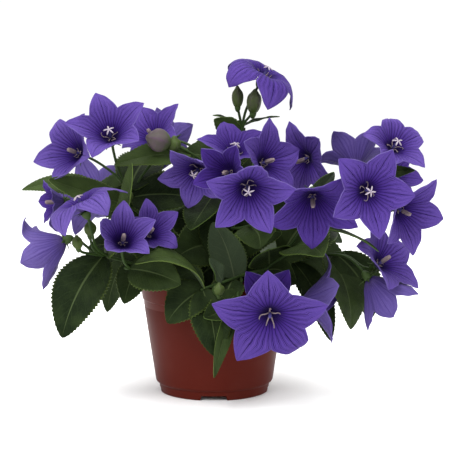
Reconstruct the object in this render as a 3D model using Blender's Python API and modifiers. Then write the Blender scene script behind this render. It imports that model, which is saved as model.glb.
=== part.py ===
"""Balloon flower in a plastic nursery pot.

Sizes in the tables are millimetres, measured from the pot's axis at the height of the
surface it stands on: right, back, up. Every mesh is made in those and placed in metres.
"""
import math

import bmesh
import bpy
from mathutils import Matrix, Vector

NAME = "potted_balloon_flower"
MM = 0.001

# Place of the pot's axis in the part's frame, so that the plant's spread is centred
POT_RIGHT = -9.95
POT_BACK = 23.5

# Pot
RIM_DIAMETER = 105.0
POT_HEIGHT = 78.0
RIM_BAND = 11.4
BAND_TAPER = 1.3
SHOULDER = 0.9
BODY_FOOT_RADIUS = 41.8
FOOT_TOP = 7.7
FOOT_RADIUS = 39.4
FOOT_RING_WIDTH = 1.6
FLOOR_UNDER = 4.4
WALL = 1.2
POT_STEPS = 24
NOTCHES = 4
NOTCH_WIDTH = 17.0
NOTCH_HEIGHT = 3.3
DRAINS = 5
DRAIN_CIRCLE = 27.0
DRAIN_RADIUS = 3.0
DRAIN_SIDES = 8

# Inside of the pot: a flat floor that turns up at 45 degrees into the wall
INNER_FLOOR = FLOOR_UNDER + WALL
INNER_FOOT = FOOT_RADIUS - WALL - 1.0
INNER_BODY = BODY_FOOT_RADIUS - WALL
INNER_TURN = INNER_FLOOR + INNER_BODY - INNER_FOOT

# Soil
SOIL_HEIGHT = 66.5
SOIL_CROWN = 1.2
HOLE_SIDES = 6
GAP = 0.3

# Corners closer than WELD are one; faces that meet at less than FLAT_ANGLE are one flat face
WELD = 0.01
FLAT_ANGLE = math.radians(0.5)

# Stems
STEM_RADIUS = 1.5
TWIG_RADIUS = 0.95
STEM_BOTTOM = 56.5
STEM_STEPS = 5
TWIG_STEPS = 3

# Blooms: the petals are joined up to the fraction SINUS of their length
LOBES = 5
LOBE_TURN = 360 / LOBES
SECTOR = math.pi / LOBES
SHEET = 0.7
FLOOR_RADIUS = 2.6
SINUS = 0.60
PETAL_ROWS = (0.0, SINUS * 0.5, SINUS, 0.8, 1.0)
LOBE_TAPER = 0.95
LOBE_CUP = 0.10
CALYX_DEPTH = 7.0
CALYX_RADIUS = 3.4
SEPAL_REACH = 8.0

# Pistils: height above the throat and radius at the top
PISTIL_FOOT = 0.9
CLUB = (12.5, 1.6)
POST = (6.0, 0.9)
STAR_HEIGHT = 11.0
STAR_FOOT = 1.1
STAR_INNER = 0.8
STAR_REACH = 3.2

# Buds swell at the middle
BUD_SWELL = 1.12

# Leaves: TOOTH_POINT is where in its span a tooth stands out, TOOTH_CUT how far it cuts in.
# PLAIN_ROWS are the places along a leaf without teeth.
TOOTH_POINT = 0.82
TOOTH_CUT = 0.80
PLAIN_ROWS = (0.26, 0.64)
LEAF_WIDEST = 0.78
LEAF_FULLNESS = 0.68
LEAF_STALK = 0.7
LEAF_FOLD = math.radians(14)

# Slope of a petal from the throat's plane, in degrees: throat, wall, flare and tip, then how
# full the lobe is beyond the notch between two lobes
CUPS = {
    "flat": (34, 22, 10, -4, 0.45),
    "open": (42, 36, 22, -8, 0.5),
    "bell": (38, 48, 36, 2, 0.6),
    "deep": (34, 58, 48, 16, 0.8),
    "reflexed": (44, 36, -35, -100, 0.4),
    "umbrella": (44, 24, -52, -84, 0.45),
}

# Each bloom: throat (right, back, up), facing (right of the front, up), turn of its first
# lobe, petal length, cup, tip bends of the five lobes, pistil
BLOOMS = {
    "a": ((-90, -38, 170), (-40, 17), -41, 31, "bell", (-65, 10, 0, 70, 10), "club"),
    "b": ((-67, -64, 181), (-5, 40), -20, 31, "bell", (-5, 5, 15, -15, 5), "star"),
    "c": ((-39.5, -26, 178.6), (-34, 41), 32, 28, "open", (10, 0, 5, -100, 0), "club"),
    "d": ((-82, -92, 136.4), (-72, 63), 0, 34, "reflexed", (50, -10, 0, -20, 20), "star"),
    "e": ((-99.1, -60, 113.2), (-105, -26), 25, 34, "deep", (-90, 5, 45, 0, -5), "club"),
    "f": ((-104, -28, 137), (-64, 0), -15, 18, "deep", (0, 0, 0, 0, 5), "club"),
    "g": ((-58, -88, 114), (11, 37), 0, 27, "deep", (0, 20, -10, 30, 90), "club"),
    "h": ((-43, -66, 118), (21, 25), -9, 24, "deep", (0, 5, -70, 70, 0), "club"),
    "i": ((-9.4, -56, 161.5), (-23, -29), -20, 27, "bell", (10, 70, 0, -10, 0), "star"),
    "j": ((11.1, -85, 159.7), (-20, 4), 32, 25, "deep", (15, 0, 70, 0, 15), "club"),
    "k": ((14, -34, 169), (12, 57), -11, 27, "open", (-5, 0, 0, 0, 10), "star"),
    "l": ((21.6, -115, 153.8), (5, -23), 7, 32, "bell", (70, 0, 0, 0, 0), "star"),
    "m": ((31, -72, 165), (46, 15), 8, 29, "open", (5, 5, -5, 0, 20), "club"),
    "n": ((64, -48, 168), (-50, -13), -15, 26, "flat", (-15, 30, -95, 0, 0), "club"),
    "o": ((33.4, -10, 221.1), (60, 59), 1, 38, "umbrella", (-60, 5, 0, 20, -30), "star"),
    "p": ((64, -86, 146), (-1, -37), 34, 35, "bell", (-35, 30, -5, -20, 40), "club"),
    "q": ((95.8, -104, 150), (16, -2), 24, 31, "open", (50, -15, 10, 20, -10), "star"),
    "r": ((118, -60, 174), (23, 36), 3, 25, "open", (-110, -75, 5, -10, -75), "star"),
    "s": ((97.9, -25, 160.7), (190, 48), 42, 29, "bell", (0, -15, 0, 0, 0), "star"),
    "t": ((122, -60, 135), (40, -17), 21, 32, "bell", (15, 0, 0, 15, 0), "club"),
    "u": ((109.9, -52, 96.1), (51, 33), 5, 31, "open", (-30, -20, -10, 0, -20), "club"),
    "v": ((103.8, -60, 87.7), (104, -50), 34, 33, "deep", (60, 0, 50, 0, 60), "club"),
    "w": ((37, -88, 70), (-2, -26), -2, 38, "flat", (10, 5, -90, 5, -5), "post"),
    "x": ((36.2, -48, 74.5), (2, -5), 33, 28, "bell", (5, 60, 0, 0, 5), "club"),
    "y": ((60, -58, 72.6), (84, -1), 12, 37, "bell", (-50, 60, 0, 10, 40), "club"),
    "back_a": ((-31, 14, 178), (205, -9), 10, 26, "open", (0, 0, 0, 0, 5), "star"),
    "back_b": ((-84, 62, 132), (225, 10), 20, 38, "bell", (0, 0, 0, 0, 0), "club"),
    "z": ((120, -22, 154), (50, 20), 39, 25, "bell", (-10, 5, 0, 0, 0), "club"),
}

# Blooms whose pistil is one body with the petals
FUSED_PISTILS = ("e", "f", "h", "s", "u", "v", "x", "y", "back_b")

# Each leafy stem: its line from the soil; twigs as (fraction of the stem, end); blooms as
# (carrier, fraction of it); buds as (carrier, fraction, middle, facing, width, length);
# leaves as (carrier, fraction, tip, arch, width, roll, teeth)
STEMS = {
    "left_high": {
        "line": ((-14, -6), (-30, -14, 100), (-50, -24, 130), (-62, -30, 152)),
        "twigs": {},
        "blooms": {"a": ("stem", 0.9), "b": ("stem", 0.96), "c": ("stem", 0.8),
                   "f": ("stem", 0.68)},
        "buds": {},
        "leaves": (("f", 0.5, (-134.3, -12, 144), 8, 18, -48, 2),
                   ("f", 0.3, (-108.5, -64, 154.4), 0, 20, -81, 2),
                   ("stem", 0.84, (-11.7, -46, 140.1), 3, 32, 62, 3),
                   ("stem", 0.4, (-72, 14, 112), 8, 38, -73, 0),
                   ("stem", 0.66, (-90, 16, 140), 8, 38, -68, 0),
                   ("stem", 0.6, (-80, -17, 138), 9, 34, -86, 2),
                   ("stem", 0.9, (-40, 12, 166), 8, 34, 13, 0)),
    },
    "left_front": {
        "line": ((-22, -16), (-40, -32, 88), (-60, -46, 98), (-78, -58, 104)),
        "twigs": {},
        "blooms": {"e": ("stem", 0.95), "d": ("stem", 0.85)},
        "buds": {"five": ("stem", 0.92, (-80, -76, 123), (0, 80), 8, 10),
                 "six": ("stem", 0.96, (-88, -78, 114), (-20, 75), 7, 9)},
        "leaves": (("stem", 0.93, (-99.2, -76, 50.8), 5, 36, -43, 3),
                   ("stem", 0.9, (-52.1, -80, 165.9), -6, 26, 81, 3),
                   ("stem", 0.6, (-59.4, -62, 71.2), 3, 22, -30, 2),
                   ("stem", 0.74, (-73.9, -30, 60.6), 3, 18, -124, 0),
                   ("stem", 0.5, (-88, -14, 104), 8, 38, -66, 0)),
    },
    "front_left": {
        "line": ((-10, -22), (-26, -42, 86), (-42, -58, 91), (-58, -74, 97)),
        "twigs": {},
        "blooms": {"g": ("stem", 0.92), "h": ("stem", 0.6)},
        "buds": {"nine": ("h", 0.5, (-58, -48, 142), (0, 80), 8, 10)},
        "leaves": (("stem", 0.95, (-20.6, -84, 87.7), 2, 28, 64, 3),
                   ("stem", 0.5, (-7.5, -60, 74.9), 3, 28, 52, 0),
                   ("stem", 0.35, (-60, -36, 116), 6, 36, -73, 0)),
    },
    "centre": {
        "line": ((0, -10), (2, -18, 100), (6, -24, 128), (12, -28, 148)),
        "twigs": {"low": (0.42, (29, -86, 127))},
        "blooms": {"i": ("stem", 0.66), "j": ("stem", 0.56), "k": ("stem", 0.95),
                   "l": ("low", 1.0), "m": ("stem", 0.6)},
        "buds": {"one": ("i", 0.6, (-36, -60, 180), (-60, 15), 15, 17),
                 "two": ("one", 0.4, (-26, -55, 177), (10, 70), 9, 11)},
        "leaves": (("one", 0.5, (-64.9, -66, 163.9), 3, 18, -53, 2),
                   ("i", 0.4, (-14.8, -65, 121), 1, 30, -4, 3),
                   ("k", 0.5, (-24, -18, 168), 6, 34, -64, 0),
                   ("stem", 0.6, (54, -22, 138), 6, 36, 78, 0),
                   ("stem", 0.5, (-26.7, -46, 98.8), 4, 34, -60, 2),
                   ("j", 0.3, (-0.9, -39, 98.1), 2, 28, -26, 0),
                   ("low", 0.8, (30.6, -80, 110.1), 5, 30, 35, 2),
                   ("stem", 0.42, (46, -52, 118), 8, 36, 85, 0)),
    },
    "top": {
        "line": ((8, 6), (12, 4, 110), (17, -2, 155), (20, -7, 192)),
        "twigs": {},
        "blooms": {"o": ("stem", 0.98), "back_a": ("stem", 0.6)},
        "buds": {"three": ("stem", 0.93, (16.4, -12, 208.3), (-10, 85), 8, 15),
                 "four": ("stem", 0.95, (27.8, -18, 205.2), (20, 75), 10, 17)},
        "leaves": (("stem", 0.97, (-1, -6, 196), 2, 4, 0, 0),
                   ("stem", 0.97, (46, -8, 195), 2, 4, 0, 0),
                   ("stem", 0.85, (0.1, -16, 193.5), 3, 20, -94, 0),
                   ("stem", 0.8, (33.1, -28, 180.6), 3, 20, 77, 0),
                   ("stem", 0.6, (46, 30, 150), 8, 38, 67, 0),
                   ("stem", 0.65, (-32, 20, 156), 8, 38, -75, 0),
                   ("stem", 0.45, (52, -10, 122), 8, 38, 81, 0),
                   ("stem", 0.35, (-34, 22, 122), 8, 38, -76, 0),
                   ("stem", 0.55, (14, 52, 140), 8, 38, 10, 0),
                   ("stem", 0.75, (0, 38, 178), 6, 30, -23, 0),
                   ("stem", 0.3, (34.4, 14, 93.7), 6, 42, 78, 0),
                   ("stem", 0.26, (-10.2, 2, 74.2), 9, 46, -72, 0)),
    },
    "right_front": {
        "line": ((18, -18), (34, -34, 90), (56, -50, 108), (74, -62, 126)),
        "twigs": {},
        "blooms": {"p": ("stem", 0.85), "q": ("stem", 0.95), "n": ("stem", 0.6)},
        "buds": {},
        "leaves": (("stem", 0.7, (71, -88, 106), 6, 36, 26, 3),
                   ("stem", 0.9, (108, -78, 108), 5, 9, 0, 0),
                   ("stem", 0.5, (36.1, -70, 108.3), 4, 32, -159, 2),
                   ("n", 0.5, (78, -79, 160), 0, 14, 0, 0),
                   ("stem", 0.6, (86, -34, 132), 8, 36, 79, 0),
                   ("stem", 0.36, (56.6, -42, 82.4), 8, 27.4, 73, 0)),
    },
    "right_high": {
        "line": ((26, -4), (50, -14, 95), (76, -24, 122), (98, -32, 146)),
        "twigs": {},
        "blooms": {"r": ("stem", 0.96), "s": ("stem", 0.85), "t": ("stem", 0.8)},
        "buds": {},
        "leaves": (("stem", 0.7, (94, 22, 140), 8, 38, 53, 0),
                   ("stem", 0.9, (134, -57, 160), 6, 14, 74, 0),
                   ("stem", 0.5, (88, 14, 112), 11, 38, 57, 0),
                   ("stem", 0.5, (60, 26, 116), 6, 32, 14, 0)),
    },
    "right_low": {
        "line": ((20, 12), (46, 0, 88), (72, -16, 98), (90, -30, 102)),
        "twigs": {},
        "blooms": {"u": ("stem", 0.92), "v": ("stem", 0.8)},
        "buds": {},
        "leaves": (("stem", 0.82, (93.9, -39, 49.9), 8, 38, -8, 3),
                   ("stem", 0.9, (109.9, -26, 55.8), 6, 32, 69, 3),
                   ("stem", 0.55, (81.2, -30, 40.3), 6, 22, 37, 2),
                   ("stem", 0.5, (98, 20, 84), 8, 38, 76, 0)),
    },
    "front_low": {
        "line": ((8, -28), (14, -40, 84), (24, -48, 90), (34, -46, 92)),
        "twigs": {"shoot": (0.5, (-8, -70, 82)), "arm": (0.5, (16, -66, 77))},
        "blooms": {"w": ("arm", 1.0), "x": ("stem", 0.95), "y": ("stem", 0.9)},
        "buds": {"ten": ("shoot", 0.7, (4, -84, 84), (0, 80), 7, 8)},
        "leaves": (("shoot", 0.95, (-49.4, -96, 102.2), 12, 20, -30, 2),
                   ("shoot", 0.9, (-30.2, -76, 60.8), 3, 28, -63, 3),
                   ("shoot", 0.97, (2, -80, 38.9), 3, 28, 40, 3),
                   ("arm", 0.85, (-5.7, -86, 65.8), -3, 20, -45, 2),
                   ("stem", 0.45, (-0.2, -56, 125.5), 3, 26, -148, 2),
                   ("shoot", 0.6, (-2.7, -66, 102.5), 1, 11, -72, 0),
                   ("shoot", 0.4, (7.2, -62, 69.8), 2, 22.9, -22, 0),
                   ("arm", 0.95, (0.8, -90, 27.1), 2, 11, -60, 2)),
    },
    "back_left": {
        "line": ((-8, 20), (-20, 38, 96), (-34, 52, 120), (-44, 58, 134)),
        "twigs": {},
        "blooms": {"back_b": ("stem", 0.95)},
        "buds": {},
        "leaves": (("stem", 0.4, (-30, 88, 92), 8, 38, 34, 0),
                   ("stem", 0.6, (-88, 66, 92), 8, 38, 41, 0),
                   ("stem", 0.8, (-4, 98, 122), 8, 36, -36, 0),
                   ("stem", 0.75, (-68, 22, 144), 8, 38, 71, 0),
                   ("stem", 0.6, (-16, 70, 142), 8, 36, -142, 0)),
    },
    "back_right": {
        "line": ((12, 24), (24, 40, 92), (38, 52, 112), (48, 58, 122)),
        "twigs": {},
        "blooms": {"z": ("stem", 0.95)},
        "buds": {},
        "leaves": (("stem", 0.4, (44, 96, 84), 8, 38, -23, 0),
                   ("stem", 0.7, (96, 54, 100), 8, 38, -47, 0),
                   ("stem", 0.9, (16, 92, 150), 8, 36, 99, 0),
                   ("stem", 0.6, (72, 26, 136), 8, 38, -75, 0)),
    },
}

VIOLET = (0.10, 0.04, 0.36, 1.0)
CREAM = (0.55, 0.45, 0.36, 1.0)
GREEN = (0.035, 0.08, 0.02, 1.0)
TERRACOTTA = (0.12, 0.016, 0.012, 1.0)
PEAT = (0.02, 0.013, 0.008, 1.0)


def clear_scene():
    for item in list(bpy.data.objects):
        bpy.data.objects.remove(item, do_unlink=True)


def make_material(name, colour, roughness):
    material = bpy.data.materials.new(name)
    material.use_nodes = True
    shader = material.node_tree.nodes["Principled BSDF"]
    shader.inputs["Base Color"].default_value = colour
    shader.inputs["Roughness"].default_value = roughness
    shader.inputs["Metallic"].default_value = 0.0
    return material


def make_object(name, mesh, collection, material=None):
    item = bpy.data.objects.new(name, mesh)
    collection.objects.link(item)
    if material:
        mesh.materials.clear()
        mesh.materials.append(material)
    return item


def placed_mesh(name, bm):
    """Puts a mesh made in millimetres at its place in metres."""
    shift = Vector((POT_RIGHT, POT_BACK, 0.0))
    bmesh.ops.translate(bm, verts=bm.verts, vec=shift)
    bmesh.ops.scale(bm, verts=bm.verts, vec=(MM, MM, MM))
    mesh = bpy.data.meshes.new(name)
    bm.to_mesh(mesh)
    bm.free()
    return mesh


def evaluated_mesh(item):
    graph = bpy.context.evaluated_depsgraph_get()
    return bpy.data.meshes.new_from_object(item.evaluated_get(graph))


def facing_axis(facing):
    """Unit vector of a facing given as degrees right of the front and degrees up."""
    side, up = (math.radians(angle) for angle in facing)
    return Vector((math.sin(side) * math.cos(up), -math.cos(side) * math.cos(up), math.sin(up)))


def head_frame(origin, facing):
    """Matrix with its Z along the facing and its Y as upright as it can be."""
    axis = facing_axis(facing)
    upward = (Vector((0, 0, 1)) - axis * axis.z).normalized()
    across = upward.cross(axis)
    turn = Matrix((across, upward, axis)).transposed().to_4x4()
    return Matrix.Translation(Vector(origin)) @ turn


def smooth_line(points, count):
    """Reads count + 1 points evenly from a Catmull-Rom curve through the given ones."""
    ends = [points[0] * 2 - points[1], *points, points[-1] * 2 - points[-2]]
    spans = len(points) - 1
    line = []
    for step in range(count + 1):
        place = step / count * spans
        span = min(int(place), spans - 1)
        t = place - span
        a, b, c, d = ends[span:span + 4]
        line.append(0.5 * (2 * b + (c - a) * t + (2 * a - 5 * b + 4 * c - d) * t * t
                           + (3 * b - a - 3 * c + d) * t ** 3))
    return line


def bent_line(start, start_handle, end_handle, end, count):
    """Reads count + 1 points from a cubic Bezier curve."""
    line = []
    for step in range(count + 1):
        t = step / count
        s = 1 - t
        line.append(start * s ** 3 + start_handle * 3 * s * s * t
                    + end_handle * 3 * s * t * t + end * t ** 3)
    return line


def point_on(line, fraction):
    place = min(max(fraction, 0.0), 1.0) * (len(line) - 1)
    index = min(int(place), len(line) - 2)
    return line[index].lerp(line[index + 1], place - index)


def direction_on(line, fraction):
    index = min(int(fraction * (len(line) - 1)), len(line) - 2)
    return (line[index + 1] - line[index]).normalized()


def tube(name, line, radius, end_radius, collection):
    """A four-sided stalk along a line, as a closed mesh."""
    curve = bpy.data.curves.new(name, "CURVE")
    curve.dimensions = "3D"
    curve.bevel_depth = MM
    curve.bevel_resolution = 0
    curve.use_fill_caps = True
    spline = curve.splines.new("POLY")
    spline.points.add(len(line) - 1)
    for index, place in enumerate(line):
        spline.points[index].co = (
            (place.x + POT_RIGHT) * MM, (place.y + POT_BACK) * MM, place.z * MM, 1.0)
        share = index / (len(line) - 1)
        spline.points[index].radius = radius + (end_radius - radius) * share
    guide = make_object(name + "_line", curve, collection)
    bpy.context.view_layer.update()
    mesh = evaluated_mesh(guide)
    bm = bmesh.new()
    bm.from_mesh(mesh)
    bmesh.ops.remove_doubles(bm, verts=bm.verts, dist=1e-6)
    bmesh.ops.recalc_face_normals(bm, faces=bm.faces)
    bm.to_mesh(mesh)
    bm.free()
    item = make_object(name, mesh, collection)
    item.matrix_world = guide.matrix_world
    bpy.data.objects.remove(guide, do_unlink=True)
    return item


def solidified(item, thickness):
    """Gives an open surface its thickness, half on each side."""
    shell = item.modifiers.new("Sheet", "SOLIDIFY")
    shell.thickness = thickness * MM
    shell.offset = 0.0
    shell.use_quality_normals = True
    return shell


def applied(item):
    """Swaps an object's mesh for its evaluated one."""
    bpy.context.view_layer.update()
    mesh = evaluated_mesh(item)
    item.modifiers.clear()
    item.data = mesh
    return item


def joined(item, others):
    """Joins other solids to an object by one union, and removes them."""
    pieces = bpy.data.collections.new("pieces")
    bpy.context.scene.collection.children.link(pieces)
    for other in others:
        for collection in list(other.users_collection):
            collection.objects.unlink(other)
        pieces.objects.link(other)
    union = item.modifiers.new("Join", "BOOLEAN")
    union.operation = "UNION"
    union.operand_type = "COLLECTION"
    union.collection = pieces
    union.solver = "EXACT"
    material = item.data.materials[0] if item.data.materials else None
    applied(item)
    bm = bmesh.new()
    bm.from_mesh(item.data)
    bmesh.ops.dissolve_limit(bm, angle_limit=FLAT_ANGLE, verts=bm.verts, edges=bm.edges)
    bmesh.ops.triangulate(bm, faces=bm.faces)
    bm.to_mesh(item.data)
    bm.free()
    item.data.materials.clear()
    item.data.materials.append(material)
    for other in others:
        bpy.data.objects.remove(other, do_unlink=True)
    bpy.data.collections.remove(pieces)
    return item


def petal_slope(cup, t, bend):
    """Slope of a petal in radians at fraction t of its length, with the tip bent."""
    throat, wall, flare, tip, _ = CUPS[cup]
    stops = ((0.0, throat), (0.25, wall), (0.6, flare), (1.0, tip))
    slope = float(tip)
    for (t0, s0), (t1, s1) in zip(stops, stops[1:]):
        if t <= t1:
            slope = s0 + (s1 - s0) * (t - t0) / (t1 - t0)
            break
    return math.radians(slope + bend * max(0.0, (t - SINUS) / (1 - SINUS)))


def petal_midrib(cup, length, t, bend):
    """Distance from the axis and height above the throat, summed along the petal."""
    pieces = 24
    radius, height = FLOOR_RADIUS, 0.0
    for piece in range(pieces):
        slope = petal_slope(cup, t * (piece + 0.5) / pieces, bend)
        radius += math.cos(slope) * length * t / pieces
        height += math.sin(slope) * length * t / pieces
    return radius, height


def petal_point(cup, length, bend, u, t):
    """Place on a petal: u from -1 to 1 across, t from 0 at the throat to 1 at the tip."""
    radius, height = petal_midrib(cup, length, t, bend)
    if t <= SINUS:
        return Vector((radius * math.sin(u * SECTOR), radius * math.cos(u * SECTOR), height))
    notch_radius, _ = petal_midrib(cup, length, SINUS, bend)
    past = (t - SINUS) / (1 - SINUS)
    half = notch_radius * math.sin(SECTOR) * (1 - past) ** LOBE_TAPER * (1 + CUPS[cup][4] * past)
    back = notch_radius * (1 - math.cos(SECTOR)) * (1 - past) * u * u
    lift = LOBE_CUP * half * u * u * math.sin(math.pi * past)
    slope = petal_slope(cup, t, bend)
    return Vector((u * half, radius - back - lift * math.sin(slope),
                   height + lift * math.cos(slope)))


def corolla_surface(length, cup, bends, turn):
    """Open surface of five joined petals round the Z axis, mouth up."""
    spans = len(PETAL_ROWS) - 1
    bm = bmesh.new()
    for lobe in range(LOBES):
        made = bmesh.ops.create_grid(bm, x_segments=2, y_segments=spans, size=1.0)
        turned = Matrix.Rotation(-math.radians(turn + LOBE_TURN * lobe), 3, "Z")
        for vertex in made["verts"]:
            row = round((vertex.co.y + 1) / 2 * spans)
            across = vertex.co.x if row else math.copysign(1.0, vertex.co.x)
            place = petal_point(cup, length, bends[lobe], across, PETAL_ROWS[row])
            vertex.co = turned @ place
    bmesh.ops.remove_doubles(bm, verts=bm.verts, dist=WELD)
    rim = [edge for edge in bm.edges if edge.is_boundary
           and max(vertex.co.xy.length for vertex in edge.verts) < FLOOR_RADIUS + WELD]
    bmesh.ops.holes_fill(bm, edges=rim, sides=LOBES)
    bmesh.ops.triangulate(bm, faces=bm.faces, quad_method="FIXED")
    bmesh.ops.recalc_face_normals(bm, faces=bm.faces)
    return bm


def star_solid(foot_radius, inner_radius, reach, foot, top):
    """A cone whose top edge runs out into five points; its foot may be a point."""
    bm = bmesh.new()
    bmesh.ops.create_cone(bm, cap_ends=True, segments=2 * LOBES, radius1=foot_radius,
                          radius2=inner_radius, depth=top - foot)
    bmesh.ops.translate(bm, verts=bm.verts, vec=(0, 0, (top + foot) / 2))
    for vertex in bm.verts:
        corner = round(math.atan2(vertex.co.y, vertex.co.x) / SECTOR)
        if vertex.co.z > foot + WELD and corner % 2:
            vertex.co.xy = vertex.co.xy * (reach / inner_radius)
    bmesh.ops.remove_doubles(bm, verts=bm.verts, dist=WELD)
    bmesh.ops.triangulate(bm, faces=bm.faces)
    return bm


def pistil_solid(kind, foot):
    if kind == "star":
        return star_solid(STAR_FOOT, STAR_INNER, STAR_REACH, foot, STAR_HEIGHT)
    bm = bmesh.new()
    top, wide = POST if kind == "post" else CLUB
    bmesh.ops.create_cone(bm, cap_ends=True, segments=6, radius1=PISTIL_FOOT, radius2=wide,
                          depth=top - foot)
    bmesh.ops.translate(bm, verts=bm.verts, vec=(0, 0, (top + foot) / 2))
    return bm


def make_bloom(key, collection, violet, cream):
    throat, facing, turn, length, cup, bends, pistil = BLOOMS[key]
    frame = head_frame(throat, facing)
    bm = corolla_surface(length, cup, bends, turn)
    bmesh.ops.transform(bm, matrix=frame, verts=bm.verts)
    name = "bloom_" + key
    item = make_object(name, placed_mesh(name, bm), collection, violet)
    solidified(item, SHEET)
    fused = key in FUSED_PISTILS
    bm = pistil_solid(pistil, -SHEET / 4 if fused else SHEET / 2 + GAP)
    turned = frame @ Matrix.Rotation(-math.radians(turn), 4, "Z")
    bmesh.ops.transform(bm, matrix=turned, verts=bm.verts)
    post = make_object("pistil_" + key, placed_mesh("pistil_" + key, bm), collection, cream)
    if fused:
        joined(item, [post])


def calyx(key, collection):
    """Cup under a bloom with five pointed sepals, one below each notch."""
    throat, facing, turn, *_ = BLOOMS[key]
    top = -SHEET / 2 - GAP
    bm = star_solid(0.0, CALYX_RADIUS, SEPAL_REACH, -CALYX_DEPTH, top)
    turned = head_frame(throat, facing) @ Matrix.Rotation(-math.radians(turn), 4, "Z")
    bmesh.ops.transform(bm, matrix=turned, verts=bm.verts)
    return make_object("calyx_" + key, placed_mesh("calyx", bm), collection)


def bud(key, middle, facing, width, length, collection):
    """Five-angled balloon with a drawn-out point."""
    bm = bmesh.new()
    bmesh.ops.create_uvsphere(bm, u_segments=LOBES, v_segments=4, radius=0.5)
    for vertex in bm.verts:
        swell = BUD_SWELL if abs(vertex.co.z) < 0.1 else 1.0
        vertex.co = Vector((vertex.co.x * width * swell, vertex.co.y * width * swell,
                            vertex.co.z * length))
    bmesh.ops.transform(bm, matrix=head_frame(middle, facing), verts=bm.verts)
    return make_object("bud_" + key, placed_mesh("bud", bm), collection)


def leaf(name, base, tip, arch, width, roll, teeth, collection):
    """A saw-edged blade from base to tip, arched along its length and folded at its rib."""
    chord = tip - base
    level = Vector((0, 0, 1)) if abs(chord.normalized().z) < 0.97 else Vector((base.x, base.y, 0))
    across = chord.cross(level).normalized()
    upward = across.cross(chord).normalized()
    lean = Matrix.Rotation(math.radians(roll), 3, chord)
    across, face = lean @ across, lean @ upward
    middle = (base + tip) / 2 + upward * arch * 2
    rows = [(0.0, 1.0)]
    for tooth in range(teeth):
        rows.append(((tooth + TOOTH_POINT) / (teeth + 1), 1.0))
        rows.append(((tooth + 1.0) / (teeth + 1), TOOTH_CUT))
    if not teeth:
        rows += [(along, 1.0) for along in PLAIN_ROWS]
    rows.append((1.0, 1.0))
    bm = bmesh.new()
    bmesh.ops.create_grid(bm, x_segments=2, y_segments=len(rows) - 1, size=1.0)
    for vertex in bm.verts:
        along, cut = rows[round((vertex.co.y + 1) / 2 * (len(rows) - 1))]
        inside = 0 < along < 1
        swell = math.sin(math.pi * along ** LEAF_WIDEST) ** LEAF_FULLNESS if inside else 0.0
        half = 0.5 * width * swell * cut + LEAF_STALK * (1 - along)
        centre = base.lerp(middle, along).lerp(middle.lerp(tip, along), along)
        side = vertex.co.x
        vertex.co = (centre + across * side * half * math.cos(LEAF_FOLD)
                     + face * abs(side) * half * math.sin(LEAF_FOLD))
    bmesh.ops.remove_doubles(bm, verts=bm.verts, dist=WELD)
    bmesh.ops.triangulate(bm, faces=bm.faces, quad_method="FIXED")
    item = make_object(name, placed_mesh(name, bm), collection)
    solidified(item, SHEET)
    return applied(item)


def stalk_line(carrier, fraction, end, facing):
    """Leaves its carrier along it and ends in line with the flower or bud it holds."""
    start = point_on(carrier, fraction)
    span = (end - start).length
    rise = direction_on(carrier, fraction) * span * 0.35
    run_in = facing_axis(facing) * span * 0.2
    return bent_line(start, start + rise, end - run_in, end, TWIG_STEPS)


def stem_lines(key):
    """Centre lines of a stem, its twigs, its bloom stalks and its bud stalks."""
    stem = STEMS[key]
    right, back = stem["line"][0]
    points = [Vector((right, back, SOIL_HEIGHT + 3))]
    points += [Vector(place) for place in stem["line"][1:]]
    trunk = [Vector((right, back, STEM_BOTTOM)), *smooth_line(points, STEM_STEPS)]
    lines = {"stem": trunk}
    for name, (fraction, end) in stem["twigs"].items():
        start = point_on(trunk, fraction)
        end = Vector(end)
        rise = direction_on(trunk, fraction) * (end - start).length * 0.4
        lines[name] = bent_line(start, start + rise, start.lerp(end, 0.7), end, TWIG_STEPS)
    for name, (carrier, fraction) in stem["blooms"].items():
        throat, facing, *_ = BLOOMS[name]
        end = Vector(throat) - facing_axis(facing) * (CALYX_DEPTH - 1.5)
        lines[name] = stalk_line(lines[carrier], fraction, end, facing)
    for name, (carrier, fraction, middle, facing, _, length) in stem["buds"].items():
        end = Vector(middle) - facing_axis(facing) * length * 0.35
        lines[name] = stalk_line(lines[carrier], fraction, end, facing)
    return lines


def make_stem(key, collection, material):
    """One leafy stem with its stalks, calyces, buds and leaves joined in one body."""
    stem = STEMS[key]
    lines = stem_lines(key)
    trunk = tube("stem_" + key, lines["stem"], STEM_RADIUS, TWIG_RADIUS, collection)
    trunk.data.materials.append(material)
    pieces = [tube("stalk_" + name, line, TWIG_RADIUS, TWIG_RADIUS * 0.9, collection)
              for name, line in lines.items() if name != "stem"]
    pieces += [calyx(name, collection) for name in stem["blooms"]]
    for name, (_, _, middle, facing, width, length) in stem["buds"].items():
        pieces.append(bud(name, middle, facing, width, length, collection))
    for index, (carrier, fraction, tip, *shape) in enumerate(stem["leaves"]):
        base = point_on(lines[carrier], fraction)
        pieces.append(leaf(f"leaf_{index}", base, Vector(tip), *shape, collection))
    return joined(trunk, pieces)


def wall_radius(height):
    """Outer radius of the tapered body below its rim band."""
    top = RIM_DIAMETER / 2 - BAND_TAPER - SHOULDER
    share = (height - FOOT_TOP) / (POT_HEIGHT - RIM_BAND - FOOT_TOP)
    return BODY_FOOT_RADIUS + (top - BODY_FOOT_RADIUS) * share


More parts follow.
